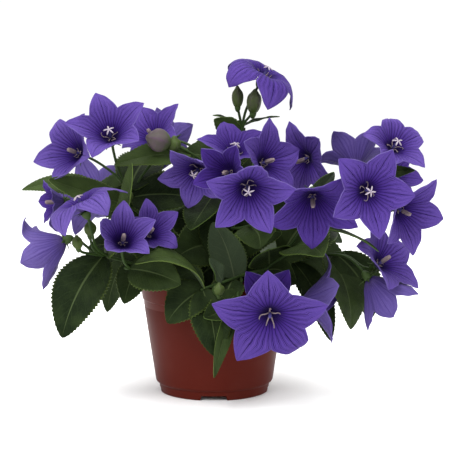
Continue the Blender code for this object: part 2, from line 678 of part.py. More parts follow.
def turned_object(name, profile, collection, material):
    """Turns a profile of radius and height about the pot's axis."""
    bm = bmesh.new()
    corners = [bm.verts.new((radius * MM, 0, height * MM)) for radius, height in profile]
    for a, b in zip(corners, corners[1:]):
        bm.edges.new((a, b))
    mesh = bpy.data.meshes.new(name)
    bm.to_mesh(mesh)
    bm.free()
    item = make_object(name, mesh, collection, material)
    item.location = (POT_RIGHT * MM, POT_BACK * MM, 0)
    turn = item.modifiers.new("Turn", "SCREW")
    turn.steps = POT_STEPS
    turn.render_steps = POT_STEPS
    turn.use_merge_vertices = True
    turn.merge_threshold = 0.0001
    return item


def cutter(name, bm, collection):
    item = make_object(name, placed_mesh(name, bm), collection)
    item.hide_render = True
    item.display_type = "WIRE"
    return item


def cut_by(item, cutters):
    cut = item.modifiers.new("Cut", "BOOLEAN")
    cut.operation = "DIFFERENCE"
    cut.operand_type = "COLLECTION"
    cut.collection = cutters


def make_pot(collection, cutters, material):
    """Tapered pot with a rim band, a foot ring with notches, and drain holes."""
    rim = RIM_DIAMETER / 2
    band_foot = POT_HEIGHT - RIM_BAND
    profile = [
        (0.0, INNER_FLOOR), (INNER_FOOT, INNER_FLOOR), (INNER_BODY, INNER_TURN),
        (wall_radius(band_foot) - WALL, band_foot), (rim - WALL, POT_HEIGHT - 0.4),
        (rim - WALL * 0.5, POT_HEIGHT), (rim, POT_HEIGHT - 0.5),
        (rim - BAND_TAPER, band_foot), (wall_radius(band_foot), band_foot - 0.4),
        (BODY_FOOT_RADIUS, FOOT_TOP), (FOOT_RADIUS, FOOT_TOP - 1.8), (FOOT_RADIUS - 0.6, 0.0),
        (FOOT_RADIUS - 0.6 - FOOT_RING_WIDTH, 0.0),
        (FOOT_RADIUS - 0.6 - FOOT_RING_WIDTH, FLOOR_UNDER), (0.0, FLOOR_UNDER),
    ]
    pot = turned_object("pot", profile, collection, material)
    for notch in range(NOTCHES):
        bm = bmesh.new()
        bmesh.ops.create_cube(bm, size=1.0)
        for vertex in bm.verts:
            lower = vertex.co.z < 0
            half = NOTCH_WIDTH / 2 + (1.2 if lower else 0.0)
            vertex.co = Vector((math.copysign(half, vertex.co.x),
                                FOOT_RADIUS + math.copysign(7.0, vertex.co.y),
                                -1.0 if lower else NOTCH_HEIGHT))
        turned = Matrix.Rotation(math.tau * notch / NOTCHES, 4, "Z")
        bmesh.ops.transform(bm, matrix=turned, verts=bm.verts)
        cutter(f"notch_{notch}", bm, cutters)
    for drain in range(DRAINS):
        bm = bmesh.new()
        bmesh.ops.create_cone(bm, cap_ends=True, segments=DRAIN_SIDES, radius1=DRAIN_RADIUS,
                              radius2=DRAIN_RADIUS, depth=WALL * 4)
        angle = math.tau * (drain + 0.5) / DRAINS
        place = (DRAIN_CIRCLE * math.cos(angle), DRAIN_CIRCLE * math.sin(angle),
                 FLOOR_UNDER + WALL / 2)
        bmesh.ops.translate(bm, verts=bm.verts, vec=place)
        cutter(f"drain_{drain}", bm, cutters)
    cut_by(pot, cutters)
    return pot


def make_soil(collection, cutters, material):
    """Potting soil that fills the pot, with a plain hole for each stem."""
    profile = [
        (0.0, SOIL_HEIGHT + SOIL_CROWN), (24.0, SOIL_HEIGHT + SOIL_CROWN * 0.8),
        (wall_radius(SOIL_HEIGHT) - WALL - GAP - 0.4, SOIL_HEIGHT - 0.4),
        (INNER_BODY - GAP, INNER_TURN + GAP), (INNER_FOOT - GAP, INNER_FLOOR + GAP),
        (0.0, INNER_FLOOR + GAP),
    ]
    soil = turned_object("soil", profile, collection, material)
    foot, top = STEM_BOTTOM - GAP, SOIL_HEIGHT + 4
    for key, stem in STEMS.items():
        right, back = stem["line"][0]
        bm = bmesh.new()
        radius = (STEM_RADIUS + GAP) / math.cos(math.pi / HOLE_SIDES)
        bmesh.ops.create_cone(bm, cap_ends=True, segments=HOLE_SIDES, radius1=radius,
                              radius2=radius, depth=top - foot)
        bmesh.ops.translate(bm, verts=bm.verts, vec=(right, back, (top + foot) / 2))
        cutter("hole_" + key, bm, cutters)
    cut_by(soil, cutters)
    return soil


def build():
    clear_scene()
    scene = bpy.context.scene
    parts = bpy.data.collections.new(NAME)
    pot_cutters = bpy.data.collections.new("pot_cutters")
    soil_cutters = bpy.data.collections.new("soil_cutters")
    for collection in (parts, pot_cutters, soil_cutters):
        scene.collection.children.link(collection)
    violet = make_material("petal", VIOLET, 0.6)
    cream = make_material("pistil", CREAM, 0.6)
    green = make_material("foliage", GREEN, 0.55)
    make_pot(parts, pot_cutters, make_material("pot_plastic", TERRACOTTA, 0.4))
    make_soil(parts, soil_cutters, make_material("soil", PEAT, 0.95))
    for key in STEMS:
        make_stem(key, parts, green)
    for key in BLOOMS:
        make_bloom(key, parts, violet, cream)


build()
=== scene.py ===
import logging
import math
import random
from collections.abc import Callable, Sequence
from dataclasses import dataclass, field
from enum import Enum

import bmesh
import bpy
from mathutils import Matrix, Vector, noise


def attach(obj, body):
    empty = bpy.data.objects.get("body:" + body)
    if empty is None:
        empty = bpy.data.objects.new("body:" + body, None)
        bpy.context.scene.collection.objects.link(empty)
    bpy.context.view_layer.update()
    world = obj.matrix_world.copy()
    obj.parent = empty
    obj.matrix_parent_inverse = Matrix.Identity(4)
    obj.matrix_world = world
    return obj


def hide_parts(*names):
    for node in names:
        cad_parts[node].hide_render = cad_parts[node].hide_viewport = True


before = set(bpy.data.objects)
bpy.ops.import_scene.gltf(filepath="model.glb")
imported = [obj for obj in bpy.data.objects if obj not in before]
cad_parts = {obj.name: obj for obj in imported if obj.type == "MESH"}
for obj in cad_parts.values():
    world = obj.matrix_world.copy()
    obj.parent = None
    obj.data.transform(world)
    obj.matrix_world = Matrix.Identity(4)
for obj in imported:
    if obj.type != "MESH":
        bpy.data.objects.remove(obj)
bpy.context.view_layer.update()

LOG = logging.getLogger("balloon_flower")

Colour = tuple[float, float, float]
Place = tuple[float, float, float]
Line = list[Vector]

MM = 0.001
WELD = 0.02
POLE_WELD = 0.001

# The pot's axis in the frame
POT_RIGHT = -9.95
POT_BACK = 23.5

# Pot and soil
RIM_RADIUS = 52.5
POT_HEIGHT = 78.0
SOIL_HEIGHT = 66.5

# Stems
STEM_BOTTOM = 56.5
STEM_RADIUS = 1.5
TWIG_RADIUS = 0.95
STEM_STEPS = 5
TWIG_STEPS = 3

# Blooms: the petals are joined up to the fraction SINUS of their length
LOBES = 5
LOBE_TURN = 360 / LOBES
SECTOR = math.pi / LOBES
LOBE_ANGLE = SECTOR * 2
FLOOR_RADIUS = 2.6
SINUS = 0.60
LOBE_TAPER = 0.95
LOBE_CUP = 0.10
CALYX_DEPTH = 7.0

# Leaves
LEAF_WIDEST = 0.78
LEAF_FULLNESS = 0.68
LEAF_STALK = 0.7
LEAF_FOLD = math.radians(14)
LEAF_VEINS = 8.0
LEAF_SLANT = 2.4


class Cup(Enum):
    """Slope of a petal at throat, wall, flare and tip, in degrees, then a lobe's fullness."""

    FLAT = (34, 22, 10, -4, 0.45)
    OPEN = (42, 36, 22, -8, 0.5)
    BELL = (38, 48, 36, 2, 0.6)
    DEEP = (34, 58, 48, 16, 0.8)
    REFLEXED = (44, 36, -35, -100, 0.4)
    UMBRELLA = (44, 24, -52, -84, 0.45)


class Pistil(Enum):
    """Stage of a bloom's middle: shut anthers, open stigma, or spent anthers round a post."""

    CLUB = "club"
    STAR = "star"
    POST = "post"


@dataclass(frozen=True)
class Bloom:
    """One bloom's place and shape.

    Args:
        throat: Middle of the throat, in millimetres.
        facing: Degrees right of the front, and degrees up.
        turn: Degrees from upright to the first lobe, clockwise from the front.
        length: Length of a petal along its surface, in millimetres.
        cup: How the petals open.
        bends: Extra bend of each lobe's tip, in degrees, forward where positive.
        pistil: Stage of the middle.
        tone: From 0 for a deep violet bloom to 1 for a pale lilac one; partly the bloom's own colour
            and partly painted light and shade, low for blooms in shade and high for lit ones.
        fused: Whether the solid of the petals also holds the pistil.
    """

    throat: Place
    facing: tuple[float, float]
    turn: float
    length: float
    cup: Cup
    bends: tuple[float, ...]
    pistil: Pistil
    tone: float
    fused: bool = False


@dataclass(frozen=True)
class Bud:
    """One bud on its stalk.

    Args:
        carrier: Line that the stalk leaves.
        fraction: Where on the carrier it leaves.
        middle: Middle of the bud, in millimetres.
        facing: Degrees right of the front, and degrees up.
        width: Width across, in millimetres.
        length: Length from stalk to point, in millimetres.
        tint: From 0 for a green bud to 1 for one that turns violet.
    """

    carrier: str
    fraction: float
    middle: Place
    facing: tuple[float, float]
    width: float
    length: float
    tint: float


@dataclass(frozen=True)
class Leaf:
    """One leaf.

    Args:
        carrier: Line that the leaf leaves.
        fraction: Where on the carrier it leaves.
        tip: Place of the tip, in millimetres.
        arch: Height of the arch over the straight line, in millimetres.
        width: Greatest width, in millimetres.
        roll: Degrees that the blade leans about its length.
        toothed: Whether the margin is saw-edged.
        flipped: Whether the underside is the face that is seen.
        pale: From 0 for a dark leaf to 1 for a young, yellower one.
    """

    carrier: str
    fraction: float
    tip: Place
    arch: float
    width: float
    roll: float
    toothed: bool = True
    flipped: bool = False
    pale: float = 0.2


@dataclass(frozen=True)
class Stem:
    """One leafy stem: its line from the soil and all that it carries."""

    line: tuple[tuple[float, ...], ...]
    blooms: dict[str, tuple[str, float]]
    leaves: tuple[Leaf, ...]
    twigs: dict[str, tuple[float, Place]] = field(default_factory=dict)
    buds: dict[str, Bud] = field(default_factory=dict)


STRAIGHT = (0, 0, 0, 0, 0)

# The tone of each bloom, its last number, is partly its own colour and partly painted light and
# shade: low for blooms in shade or with a shaded inside, such as x, high for lit ones, such as i.
BLOOMS = {
    "a": Bloom((-90, -38, 170), (-40, 17), -41, 31, Cup.BELL, (-65, 10, 0, 70, 10),
               Pistil.CLUB, 0.78),
    "b": Bloom((-67, -64, 181), (-5, 40), -20, 31, Cup.BELL, (-5, 5, 15, -15, 5),
               Pistil.STAR, 0.55),
    "c": Bloom((-39.5, -26, 178.6), (-34, 41), 32, 28, Cup.OPEN, (10, 0, 5, -100, 0),
               Pistil.CLUB, 0.45),
    "d": Bloom((-82, -92, 136.4), (-72, 63), 0, 34, Cup.REFLEXED, (50, -10, 0, -20, 20),
               Pistil.STAR, 0.95),
    "e": Bloom((-99.1, -60, 113.2), (-105, -26), 25, 34, Cup.DEEP, (-90, 5, 45, 0, -5),
               Pistil.CLUB, 1.0, fused=True),
    "f": Bloom((-104, -28, 137), (-64, 0), -15, 18, Cup.DEEP, (0, 0, 0, 0, 5),
               Pistil.CLUB, 0.2, fused=True),
    "g": Bloom((-58, -88, 114), (11, 37), 0, 27, Cup.DEEP, (0, 20, -10, 30, 90),
               Pistil.CLUB, 0.7),
    "h": Bloom((-43, -66, 118), (21, 25), -9, 24, Cup.DEEP, (0, 5, -70, 70, 0),
               Pistil.CLUB, 0.5, fused=True),
    "i": Bloom((-9.4, -56, 161.5), (-23, -29), -20, 27, Cup.BELL, (10, 70, 0, -10, 0),
               Pistil.STAR, 0.8),
    "j": Bloom((11.1, -85, 159.7), (-20, 4), 32, 25, Cup.DEEP, (15, 0, 70, 0, 15),
               Pistil.CLUB, 0.1),
    "k": Bloom((14, -34, 169), (12, 57), -11, 27, Cup.OPEN, (-5, 0, 0, 0, 10),
               Pistil.STAR, 0.35),
    "l": Bloom((21.6, -115, 153.8), (5, -23), 7, 32, Cup.BELL, (70, 0, 0, 0, 0),
               Pistil.STAR, 0.4),
    "m": Bloom((31, -72, 165), (46, 15), 8, 29, Cup.OPEN, (5, 5, -5, 0, 20),
               Pistil.CLUB, 0.45),
    "n": Bloom((64, -48, 168), (-50, -13), -15, 26, Cup.FLAT, (-15, 30, -95, 0, 0),
               Pistil.CLUB, 0.6),
    "o": Bloom((33.4, -10, 221.1), (60, 59), 1, 38, Cup.UMBRELLA, (-60, 5, 0, 20, -30),
               Pistil.STAR, 0.35),
    "p": Bloom((64, -86, 146), (-1, -37), 34, 35, Cup.BELL, (-35, 30, -5, -20, 40),
               Pistil.CLUB, 0.2),
    "q": Bloom((95.8, -104, 150), (16, -2), 24, 31, Cup.OPEN, (50, -15, 10, 20, -10),
               Pistil.STAR, 0.35),
    "r": Bloom((118, -60, 174), (23, 36), 3, 25, Cup.OPEN, (-110, -75, 5, -10, -75),
               Pistil.STAR, 0.6),
    "s": Bloom((97.9, -25, 160.7), (190, 48), 42, 29, Cup.BELL, (0, -15, 0, 0, 0),
               Pistil.STAR, 0.45, fused=True),
    "t": Bloom((122, -60, 135), (40, -17), 21, 32, Cup.BELL, (15, 0, 0, 15, 0),
               Pistil.CLUB, 0.45),
    "u": Bloom((109.9, -52, 96.1), (51, 33), 5, 31, Cup.OPEN, (-30, -20, -10, 0, -20),
               Pistil.CLUB, 0.55, fused=True),
    "v": Bloom((103.8, -60, 87.7), (104, -50), 34, 33, Cup.DEEP, (60, 0, 50, 0, 60),
               Pistil.CLUB, 0.4, fused=True),
    "w": Bloom((37, -88, 70), (-2, -26), -2, 38, Cup.FLAT, (10, 5, -90, 5, -5),
               Pistil.POST, 0.35),
    "x": Bloom((36.2, -48, 74.5), (2, -5), 33, 28, Cup.BELL, (5, 60, 0, 0, 5),
               Pistil.CLUB, 0.05, fused=True),
    "y": Bloom((60, -58, 72.6), (84, -1), 12, 37, Cup.BELL, (-50, 60, 0, 10, 40),
               Pistil.CLUB, 0.6, fused=True),
    "back_a": Bloom((-31, 14, 178), (205, -9), 10, 26, Cup.OPEN, (0, 0, 0, 0, 5),
                    Pistil.STAR, 0.45),
    "back_b": Bloom((-84, 62, 132), (225, 10), 20, 38, Cup.BELL, STRAIGHT,
                    Pistil.CLUB, 0.6, fused=True),
    "z": Bloom((120, -22, 154), (50, 20), 39, 25, Cup.BELL, (-10, 5, 0, 0, 0),
               Pistil.CLUB, 0.3),
}

STEMS = {
    "left_high": Stem(
        line=((-14, -6), (-30, -14, 100), (-50, -24, 130), (-62, -30, 152)),
        blooms={"a": ("stem", 0.9), "b": ("stem", 0.96), "c": ("stem", 0.8), "f": ("stem", 0.68)},
        leaves=(
            Leaf("f", 0.5, (-134.3, -12, 144), 8, 18, -48, pale=0.7),
            Leaf("f", 0.3, (-108.5, -64, 154.4), 0, 20, -81, pale=0.85),
            Leaf("stem", 0.84, (-11.7, -46, 140.1), 3, 32, 62),
            Leaf("stem", 0.4, (-72, 14, 112), 8, 38, -73),
            Leaf("stem", 0.66, (-90, 16, 140), 8, 38, -68),
            Leaf("stem", 0.6, (-80, -17, 138), 9, 34, -86),
            Leaf("stem", 0.9, (-40, 12, 166), 8, 34, 13),
        )),
    "left_front": Stem(
        line=((-22, -16), (-40, -32, 88), (-60, -46, 98), (-78, -58, 104)),
        blooms={"e": ("stem", 0.95), "d": ("stem", 0.85)},
        buds={
            "five": Bud("stem", 0.92, (-80, -76, 123), (0, 80), 8, 10, 0.0),
            "six": Bud("stem", 0.96, (-88, -78, 114), (-20, 75), 7, 9, 0.0),
        },
        leaves=(
            Leaf("stem", 0.93, (-99.2, -76, 50.8), 5, 36, -43, pale=0.12),
            Leaf("stem", 0.9, (-52.1, -80, 165.9), -6, 26, 81, pale=0.9),
            Leaf("stem", 0.6, (-59.4, -62, 71.2), 3, 22, -30),
            Leaf("stem", 0.74, (-73.9, -30, 60.6), 3, 18, -124),
            Leaf("stem", 0.5, (-88, -14, 104), 8, 38, -66),
        )),
    "front_left": Stem(
        line=((-10, -22), (-26, -42, 86), (-42, -58, 91), (-58, -74, 97)),
        blooms={"g": ("stem", 0.92), "h": ("stem", 0.6)},
        buds={
            "nine": Bud("h", 0.5, (-58, -48, 142), (0, 80), 8, 10, 0.0),
        },
        leaves=(
            Leaf("stem", 0.95, (-20.6, -84, 87.7), 2, 28, 64, pale=0.15),
            Leaf("stem", 0.5, (-7.5, -60, 74.9), 3, 28, 52),
            Leaf("stem", 0.35, (-60, -36, 116), 6, 36, -73),
        )),
    "centre": Stem(
        line=((0, -10), (2, -18, 100), (6, -24, 128), (12, -28, 148)),
        twigs={"low": (0.42, (29, -86, 127))},
        blooms={"i": ("stem", 0.66), "j": ("stem", 0.56), "k": ("stem", 0.95), "l": ("low", 1.0),
                "m": ("stem", 0.6)},
        buds={
            "one": Bud("i", 0.6, (-36, -60, 180), (-60, 15), 15, 17, 0.42),
            "two": Bud("one", 0.4, (-26, -55, 177), (10, 70), 9, 11, 0.0),
        },
        leaves=(
            Leaf("one", 0.5, (-64.9, -66, 163.9), 3, 18, -53, pale=1.0),
            Leaf("i", 0.4, (-14.8, -65, 121), 1, 30, -4, pale=0.15),
            Leaf("k", 0.5, (-24, -18, 168), 6, 34, -64),
            Leaf("stem", 0.6, (54, -22, 138), 6, 36, 78),
            Leaf("stem", 0.5, (-26.7, -46, 98.8), 4, 34, -60, pale=0.1),
            Leaf("j", 0.3, (-0.9, -39, 98.1), 2, 28, -26),
            Leaf("low", 0.8, (30.6, -80, 110.1), 5, 30, 35),
            Leaf("stem", 0.42, (46, -52, 118), 8, 36, 85),
        )),
    "top": Stem(
        line=((8, 6), (12, 4, 110), (17, -2, 155), (20, -7, 192)),
        blooms={"o": ("stem", 0.98), "back_a": ("stem", 0.6)},
        buds={
            "three": Bud("stem", 0.93, (16.4, -12, 208.3), (-10, 85), 8, 15, 0.15),
            "four": Bud("stem", 0.95, (27.8, -18, 205.2), (20, 75), 10, 17, 0.15),
        },
        leaves=(
            Leaf("stem", 0.97, (-1, -6, 196), 2, 4, 0, toothed=False),
            Leaf("stem", 0.97, (46, -8, 195), 2, 4, 0, toothed=False),
            Leaf("stem", 0.85, (0.1, -16, 193.5), 3, 20, -94, pale=0.7),
            Leaf("stem", 0.8, (33.1, -28, 180.6), 3, 20, 77, pale=0.6),
            Leaf("stem", 0.6, (46, 30, 150), 8, 38, 67),
            Leaf("stem", 0.65, (-32, 20, 156), 8, 38, -75),
            Leaf("stem", 0.45, (52, -10, 122), 8, 38, 81),
            Leaf("stem", 0.35, (-34, 22, 122), 8, 38, -76),
            Leaf("stem", 0.55, (14, 52, 140), 8, 38, 10),
            Leaf("stem", 0.75, (0, 38, 178), 6, 30, -23),
            Leaf("stem", 0.3, (34.4, 14, 93.7), 6, 42, 78),
            Leaf("stem", 0.26, (-10.2, 2, 74.2), 9, 46, -72),
        )),
    "right_front": Stem(
        line=((18, -18), (34, -34, 90), (56, -50, 108), (74, -62, 126)),
        blooms={"p": ("stem", 0.85), "q": ("stem", 0.95), "n": ("stem", 0.6)},
        leaves=(
            Leaf("stem", 0.7, (71, -88, 106), 6, 36, 26, pale=0.7),
            Leaf("stem", 0.9, (108, -78, 108), 5, 9, 0),
            Leaf("stem", 0.5, (36.1, -70, 108.3), 4, 32, -159),
            Leaf("n", 0.5, (78, -79, 160), 0, 14, 0),
            Leaf("stem", 0.6, (86, -34, 132), 8, 36, 79),
            Leaf("stem", 0.36, (56.6, -42, 82.4), 8, 27.4, 73),
        )),
    "right_high": Stem(
        line=((26, -4), (50, -14, 95), (76, -24, 122), (98, -32, 146)),
        blooms={"r": ("stem", 0.96), "s": ("stem", 0.85), "t": ("stem", 0.8)},
        leaves=(
            Leaf("stem", 0.7, (94, 22, 140), 8, 38, 53),
            Leaf("stem", 0.9, (134, -57, 160), 6, 14, 74),
            Leaf("stem", 0.5, (88, 14, 112), 11, 38, 57),
            Leaf("stem", 0.5, (60, 26, 116), 6, 32, 14),
        )),
    "right_low": Stem(
        line=((20, 12), (46, 0, 88), (72, -16, 98), (90, -30, 102)),
        blooms={"u": ("stem", 0.92), "v": ("stem", 0.8)},
        leaves=(
            Leaf("stem", 0.82, (93.9, -39, 49.9), 8, 38, -8, pale=0.2),
            Leaf("stem", 0.9, (109.9, -26, 55.8), 6, 32, 69),
            Leaf("stem", 0.55, (81.2, -30, 40.3), 6, 22, 37),
            Leaf("stem", 0.5, (98, 20, 84), 8, 38, 76),
        )),
    "front_low": Stem(
        line=((8, -28), (14, -40, 84), (24, -48, 90), (34, -46, 92)),
        twigs={"shoot": (0.5, (-8, -70, 82)), "arm": (0.5, (16, -66, 77))},
        blooms={"w": ("arm", 1.0), "x": ("stem", 0.95), "y": ("stem", 0.9)},
        buds={
            "ten": Bud("shoot", 0.7, (4, -84, 84), (0, 80), 7, 8, 0.0),
        },
        leaves=(
            Leaf("shoot", 0.95, (-49.4, -96, 102.2), 12, 20, -30, pale=1.0),
            Leaf("shoot", 0.9, (-30.2, -76, 60.8), 3, 28, -63, pale=0.1),
            Leaf("shoot", 0.97, (2, -80, 38.9), 3, 28, 40),
            Leaf("arm", 0.85, (-5.7, -86, 65.8), -3, 20, -45, pale=0.35),
            Leaf("stem", 0.45, (-0.2, -56, 125.5), 3, 26, -148, flipped=True),
            Leaf("shoot", 0.6, (-2.7, -66, 102.5), 1, 11, -72, flipped=True),
            Leaf("shoot", 0.4, (7.2, -62, 69.8), 2, 22.9, -22),
            Leaf("arm", 0.95, (0.8, -90, 27.1), 2, 11, -60, pale=0.5),
        )),
    "back_left": Stem(
        line=((-8, 20), (-20, 38, 96), (-34, 52, 120), (-44, 58, 134)),
        blooms={"back_b": ("stem", 0.95)},
        leaves=(
            Leaf("stem", 0.4, (-30, 88, 92), 8, 38, 34),
            Leaf("stem", 0.6, (-88, 66, 92), 8, 38, 41),
            Leaf("stem", 0.8, (-4, 98, 122), 8, 36, -36),
            Leaf("stem", 0.75, (-68, 22, 144), 8, 38, 71),
            Leaf("stem", 0.6, (-16, 70, 142), 8, 36, -142),
        )),
    "back_right": Stem(
        line=((12, 24), (24, 40, 92), (38, 52, 112), (48, 58, 122)),
        blooms={"z": ("stem", 0.95)},
        leaves=(
            Leaf("stem", 0.4, (44, 96, 84), 8, 38, -23),
            Leaf("stem", 0.7, (96, 54, 100), 8, 38, -47),
            Leaf("stem", 0.9, (16, 92, 150), 8, 36, 99),
            Leaf("stem", 0.6, (72, 26, 136), 8, 38, -75),
        )),
}


def in_metres(place: Vector) -> Vector:
    """Moves a place in millimetres from the pot's axis to the frame, in metres."""
    return Vector((place.x + POT_RIGHT, place.y + POT_BACK, place.z)) * MM


def facing_axis(facing: tuple[float, float]) -> Vector:
    """Unit vector of a facing given as degrees right of the front and degrees up."""
    side, up = (math.radians(angle) for angle in facing)
    return Vector((math.sin(side) * math.cos(up), -math.cos(side) * math.cos(up), math.sin(up)))


def head_frame(origin: Sequence[float], facing: tuple[float, float], turn: float = 0) -> Matrix:
    """Frame of a bloom or bud.

    Args:
        origin: Its origin, in millimetres.
        facing: Where its Z axis points, in degrees right of the front and degrees up.
        turn: Degrees that it is turned clockwise, seen from the front.

    Returns:
        The matrix, with its Y axis as upright as it can be before the turn.
    """
    axis = facing_axis(facing)
    upward = (Vector((0, 0, 1)) - axis * axis.z).normalized()
    turned = Matrix((upward.cross(axis), upward, axis)).transposed().to_4x4()
    spin = Matrix.Rotation(-math.radians(turn), 4, "Z")
    return Matrix.Translation(Vector(origin)) @ turned @ spin


def smooth_line(points: Line, count: int) -> Line:
    """Reads places evenly from a Catmull-Rom curve.

    Args:
        points: Places that the curve goes through.
        count: How many equal steps to read.

    Returns:
        count + 1 places from the first point to the last.
    """
    ends = [points[0] * 2 - points[1], *points, points[-1] * 2 - points[-2]]
    spans = len(points) - 1
    line = []
    for step in range(count + 1):
        place = step / count * spans
        span = min(int(place), spans - 1)
        t = place - span
        a, b, c, d = ends[span:span + 4]
        line.append(0.5 * (2 * b + (c - a) * t + (2 * a - 5 * b + 4 * c - d) * t * t
                           + (3 * b - a - 3 * c + d) * t ** 3))
    return line


def bent_line(start: Vector, start_handle: Vector, end_handle: Vector, end: Vector) -> Line:
    """Reads TWIG_STEPS + 1 places from a cubic Bezier curve."""
    line = []
    for step in range(TWIG_STEPS + 1):
        t = step / TWIG_STEPS
        s = 1 - t
        line.append(start * s ** 3 + start_handle * 3 * s * s * t
                    + end_handle * 3 * s * t * t + end * t ** 3)
    return line


def point_on(line: Line, fraction: float) -> Vector:
    """Place at a fraction of a line's steps."""
    place = min(max(fraction, 0.0), 1.0) * (len(line) - 1)
    index = min(int(place), len(line) - 2)
    return line[index].lerp(line[index + 1], place - index)


def direction_on(line: Line, fraction: float) -> Vector:
    """Direction of a line at a fraction of its steps."""
    index = min(int(fraction * (len(line) - 1)), len(line) - 2)
    return (line[index + 1] - line[index]).normalized()


def ease(value: float, low: float, high: float) -> float:
    """Smooth step from 0 at low to 1 at high."""
    share = min(1.0, max(0.0, (value - low) / (high - low)))
    return share * share * (3 - 2 * share)


def drift(place: Vector, scale: float, seed: float) -> float:
    """Smooth noise from -1 to 1 that changes over about scale millimetres."""
    return noise.noise(place / scale + Vector((seed * 7.3, seed * 3.1, seed)))


class Solid:
    """A mesh being made in millimetres from the pot's axis.

    Args:
        name: Name of the piece that it becomes.
    """

    def __init__(self, name: str) -> None:
        """Starts an empty mesh with a UV map and a tone layer."""
        self.name = name
        self.bm = bmesh.new()
        self.uv = self.bm.loops.layers.uv.new("surface")
        self.tone = self.bm.verts.layers.float.new("tone")
        self.seed = self.bm.verts.layers.float.new("seed")

    def sheet(self, columns: int, rows: Sequence[float], place: Callable[[float, int], Vector],
              slot: int = 0, tone: float = 0.0, seed: float = 0.0) -> list:
        """Adds a grid and bends it to a surface.

        Args:
            columns: Faces across.
            rows: Share of the length at each row of corners.
            place: Gives the place for a share across, from -1 to 1, and a row's index.
            slot: Material slot of the faces.
            tone: Value kept in the tone layer.
            seed: Value kept in the seed layer.

        Returns:
            The new corners.
        """
        spans = len(rows) - 1
        made = bmesh.ops.create_grid(self.bm, x_segments=columns, y_segments=spans, size=1.0)
        corners = made["verts"]
        spots = {}
        for vertex in corners:
            across, row = vertex.co.x, round((vertex.co.y + 1) / 2 * spans)
            spots[vertex] = ((across + 1) / 2, rows[row])
            vertex.co = place(across, row)
            vertex[self.tone] = tone
            vertex[self.seed] = seed
        for face in {face for vertex in corners for face in vertex.link_faces}:
            face.material_index = slot
            for loop in face.loops:
                loop[self.uv].uv = spots[loop.vert]
        return corners

    def spun(self, profile: Sequence[tuple[float, float]], steps: int, frame_of: Matrix,
             slot: int = 0, tone: float = 0.0) -> list:
        """Adds a solid turned about the Z axis of a frame.

        Args:
            profile: Radius and height of each corner, from one pole to the other.
            steps: Steps round.
            frame_of: Frame that the solid is placed in.
            slot: Material slot of the faces.
            tone: Value kept in the tone layer.

        Returns:
            The new corners.
        """
        known = set(self.bm.verts)
        line = [self.bm.verts.new((radius, 0, height)) for radius, height in profile]
        edges = [self.bm.edges.new(pair) for pair in zip(line, line[1:])]
        bmesh.ops.spin(self.bm, geom=line + edges, cent=(0, 0, 0), axis=(0, 0, 1),
                       angle=math.tau, steps=steps, use_merge=True)
        fresh = [vertex for vertex in self.bm.verts if vertex not in known]
        bmesh.ops.remove_doubles(self.bm, verts=fresh, dist=POLE_WELD)
        fresh = [vertex for vertex in self.bm.verts if vertex not in known]
        faces = list({face for vertex in fresh for face in vertex.link_faces})
        bmesh.ops.recalc_face_normals(self.bm, faces=faces)
        bmesh.ops.transform(self.bm, matrix=frame_of, verts=fresh)
        self.mark(fresh, slot, tone)
        return fresh

    def mark(self, corners: list, slot: int, tone: float) -> None:
        """Sets the slot and tone of the faces and corners given."""
        for vertex in corners:
            vertex[self.tone] = tone
            for face in vertex.link_faces:
                face.material_index = slot

    def tubes(self, lines: Sequence[tuple[Line, float, float]], slot: int, sides: int = 8) -> None:
        """Adds round stalks.

        Args:
            lines: For each stalk its line and its radius at the start and the end.
            slot: Material slot of the faces.
            sides: Sides of each stalk.
        """
        for line, thick, thin in lines:
            made = bmesh.ops.create_circle(self.bm, cap_ends=True, segments=sides, radius=1.0)
            ring = made["verts"]
            base = [vertex.co.copy() for vertex in ring]
            face = ring[0].link_faces[0]
            last = len(line) - 1
            across = None
            for index, place in enumerate(line):
                ahead = line[min(index + 1, last)] - line[max(index - 1, 0)]
                axis = ahead.normalized()
                across = (across or axis.orthogonal())
                across = (across - axis * across.dot(axis)).normalized()
                side = axis.cross(across)
                radius = thick + (thin - thick) * index / last
                if index:
                    swept = bmesh.ops.extrude_face_region(self.bm, geom=[face])
                    bmesh.ops.delete(self.bm, geom=[face], context="FACES_ONLY")
                    face = next(item for item in swept["geom"]
                                if isinstance(item, bmesh.types.BMFace))
                for vertex, flat in zip(face.verts, base):
                    vertex.co = place + (across * flat.x + side * flat.y) * radius
                face.material_index = slot
                for edge in face.edges:
                    for wall in edge.link_faces:
                        wall.material_index = slot

    def piece(self, finishes: Sequence[bpy.types.Material], slot: str,
              nodes: Sequence[str] = (), smooth: bool = True) -> bpy.types.Object:
        """Turns the mesh into a piece that rides on the plant.

        Args:
            finishes: Materials in the order of the mesh's slots.
            slot: The record's material slot; not used.
            nodes: CAD nodes that the piece stands for.
            smooth: Whether the faces are shaded smooth.

        Returns:
            The piece.
        """
        for vertex in self.bm.verts:
            vertex.co = in_metres(vertex.co)
        for face in self.bm.faces:
            face.smooth = smooth
        mesh = bpy.data.meshes.new(self.name)
        self.bm.to_mesh(mesh)
        self.bm.free()
        item = bpy.data.objects.new(self.name, mesh)
        bpy.context.scene.collection.objects.link(item)
        for finish in finishes:
            mesh.materials.append(finish)
        if nodes:
            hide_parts(*nodes)
        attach(item, "root")
        LOG.info("%s: %d faces", self.name, len(mesh.polygons))
        return item


def thickened(item: bpy.types.Object, thickness: float, back: int, rim: int) -> None:
    """Gives an open sheet its thickness, half on each side.

    Args:
        item: The sheet's object.
        thickness: In millimetres.
        back: How many slots further on the back's material is.
        rim: How many slots further on the edge's material is.
    """
    shell = item.modifiers.new("Sheet", "SOLIDIFY")
    shell.thickness = thickness * MM
    shell.offset = 0.0
    shell.material_offset = back
    shell.material_offset_rim = rim


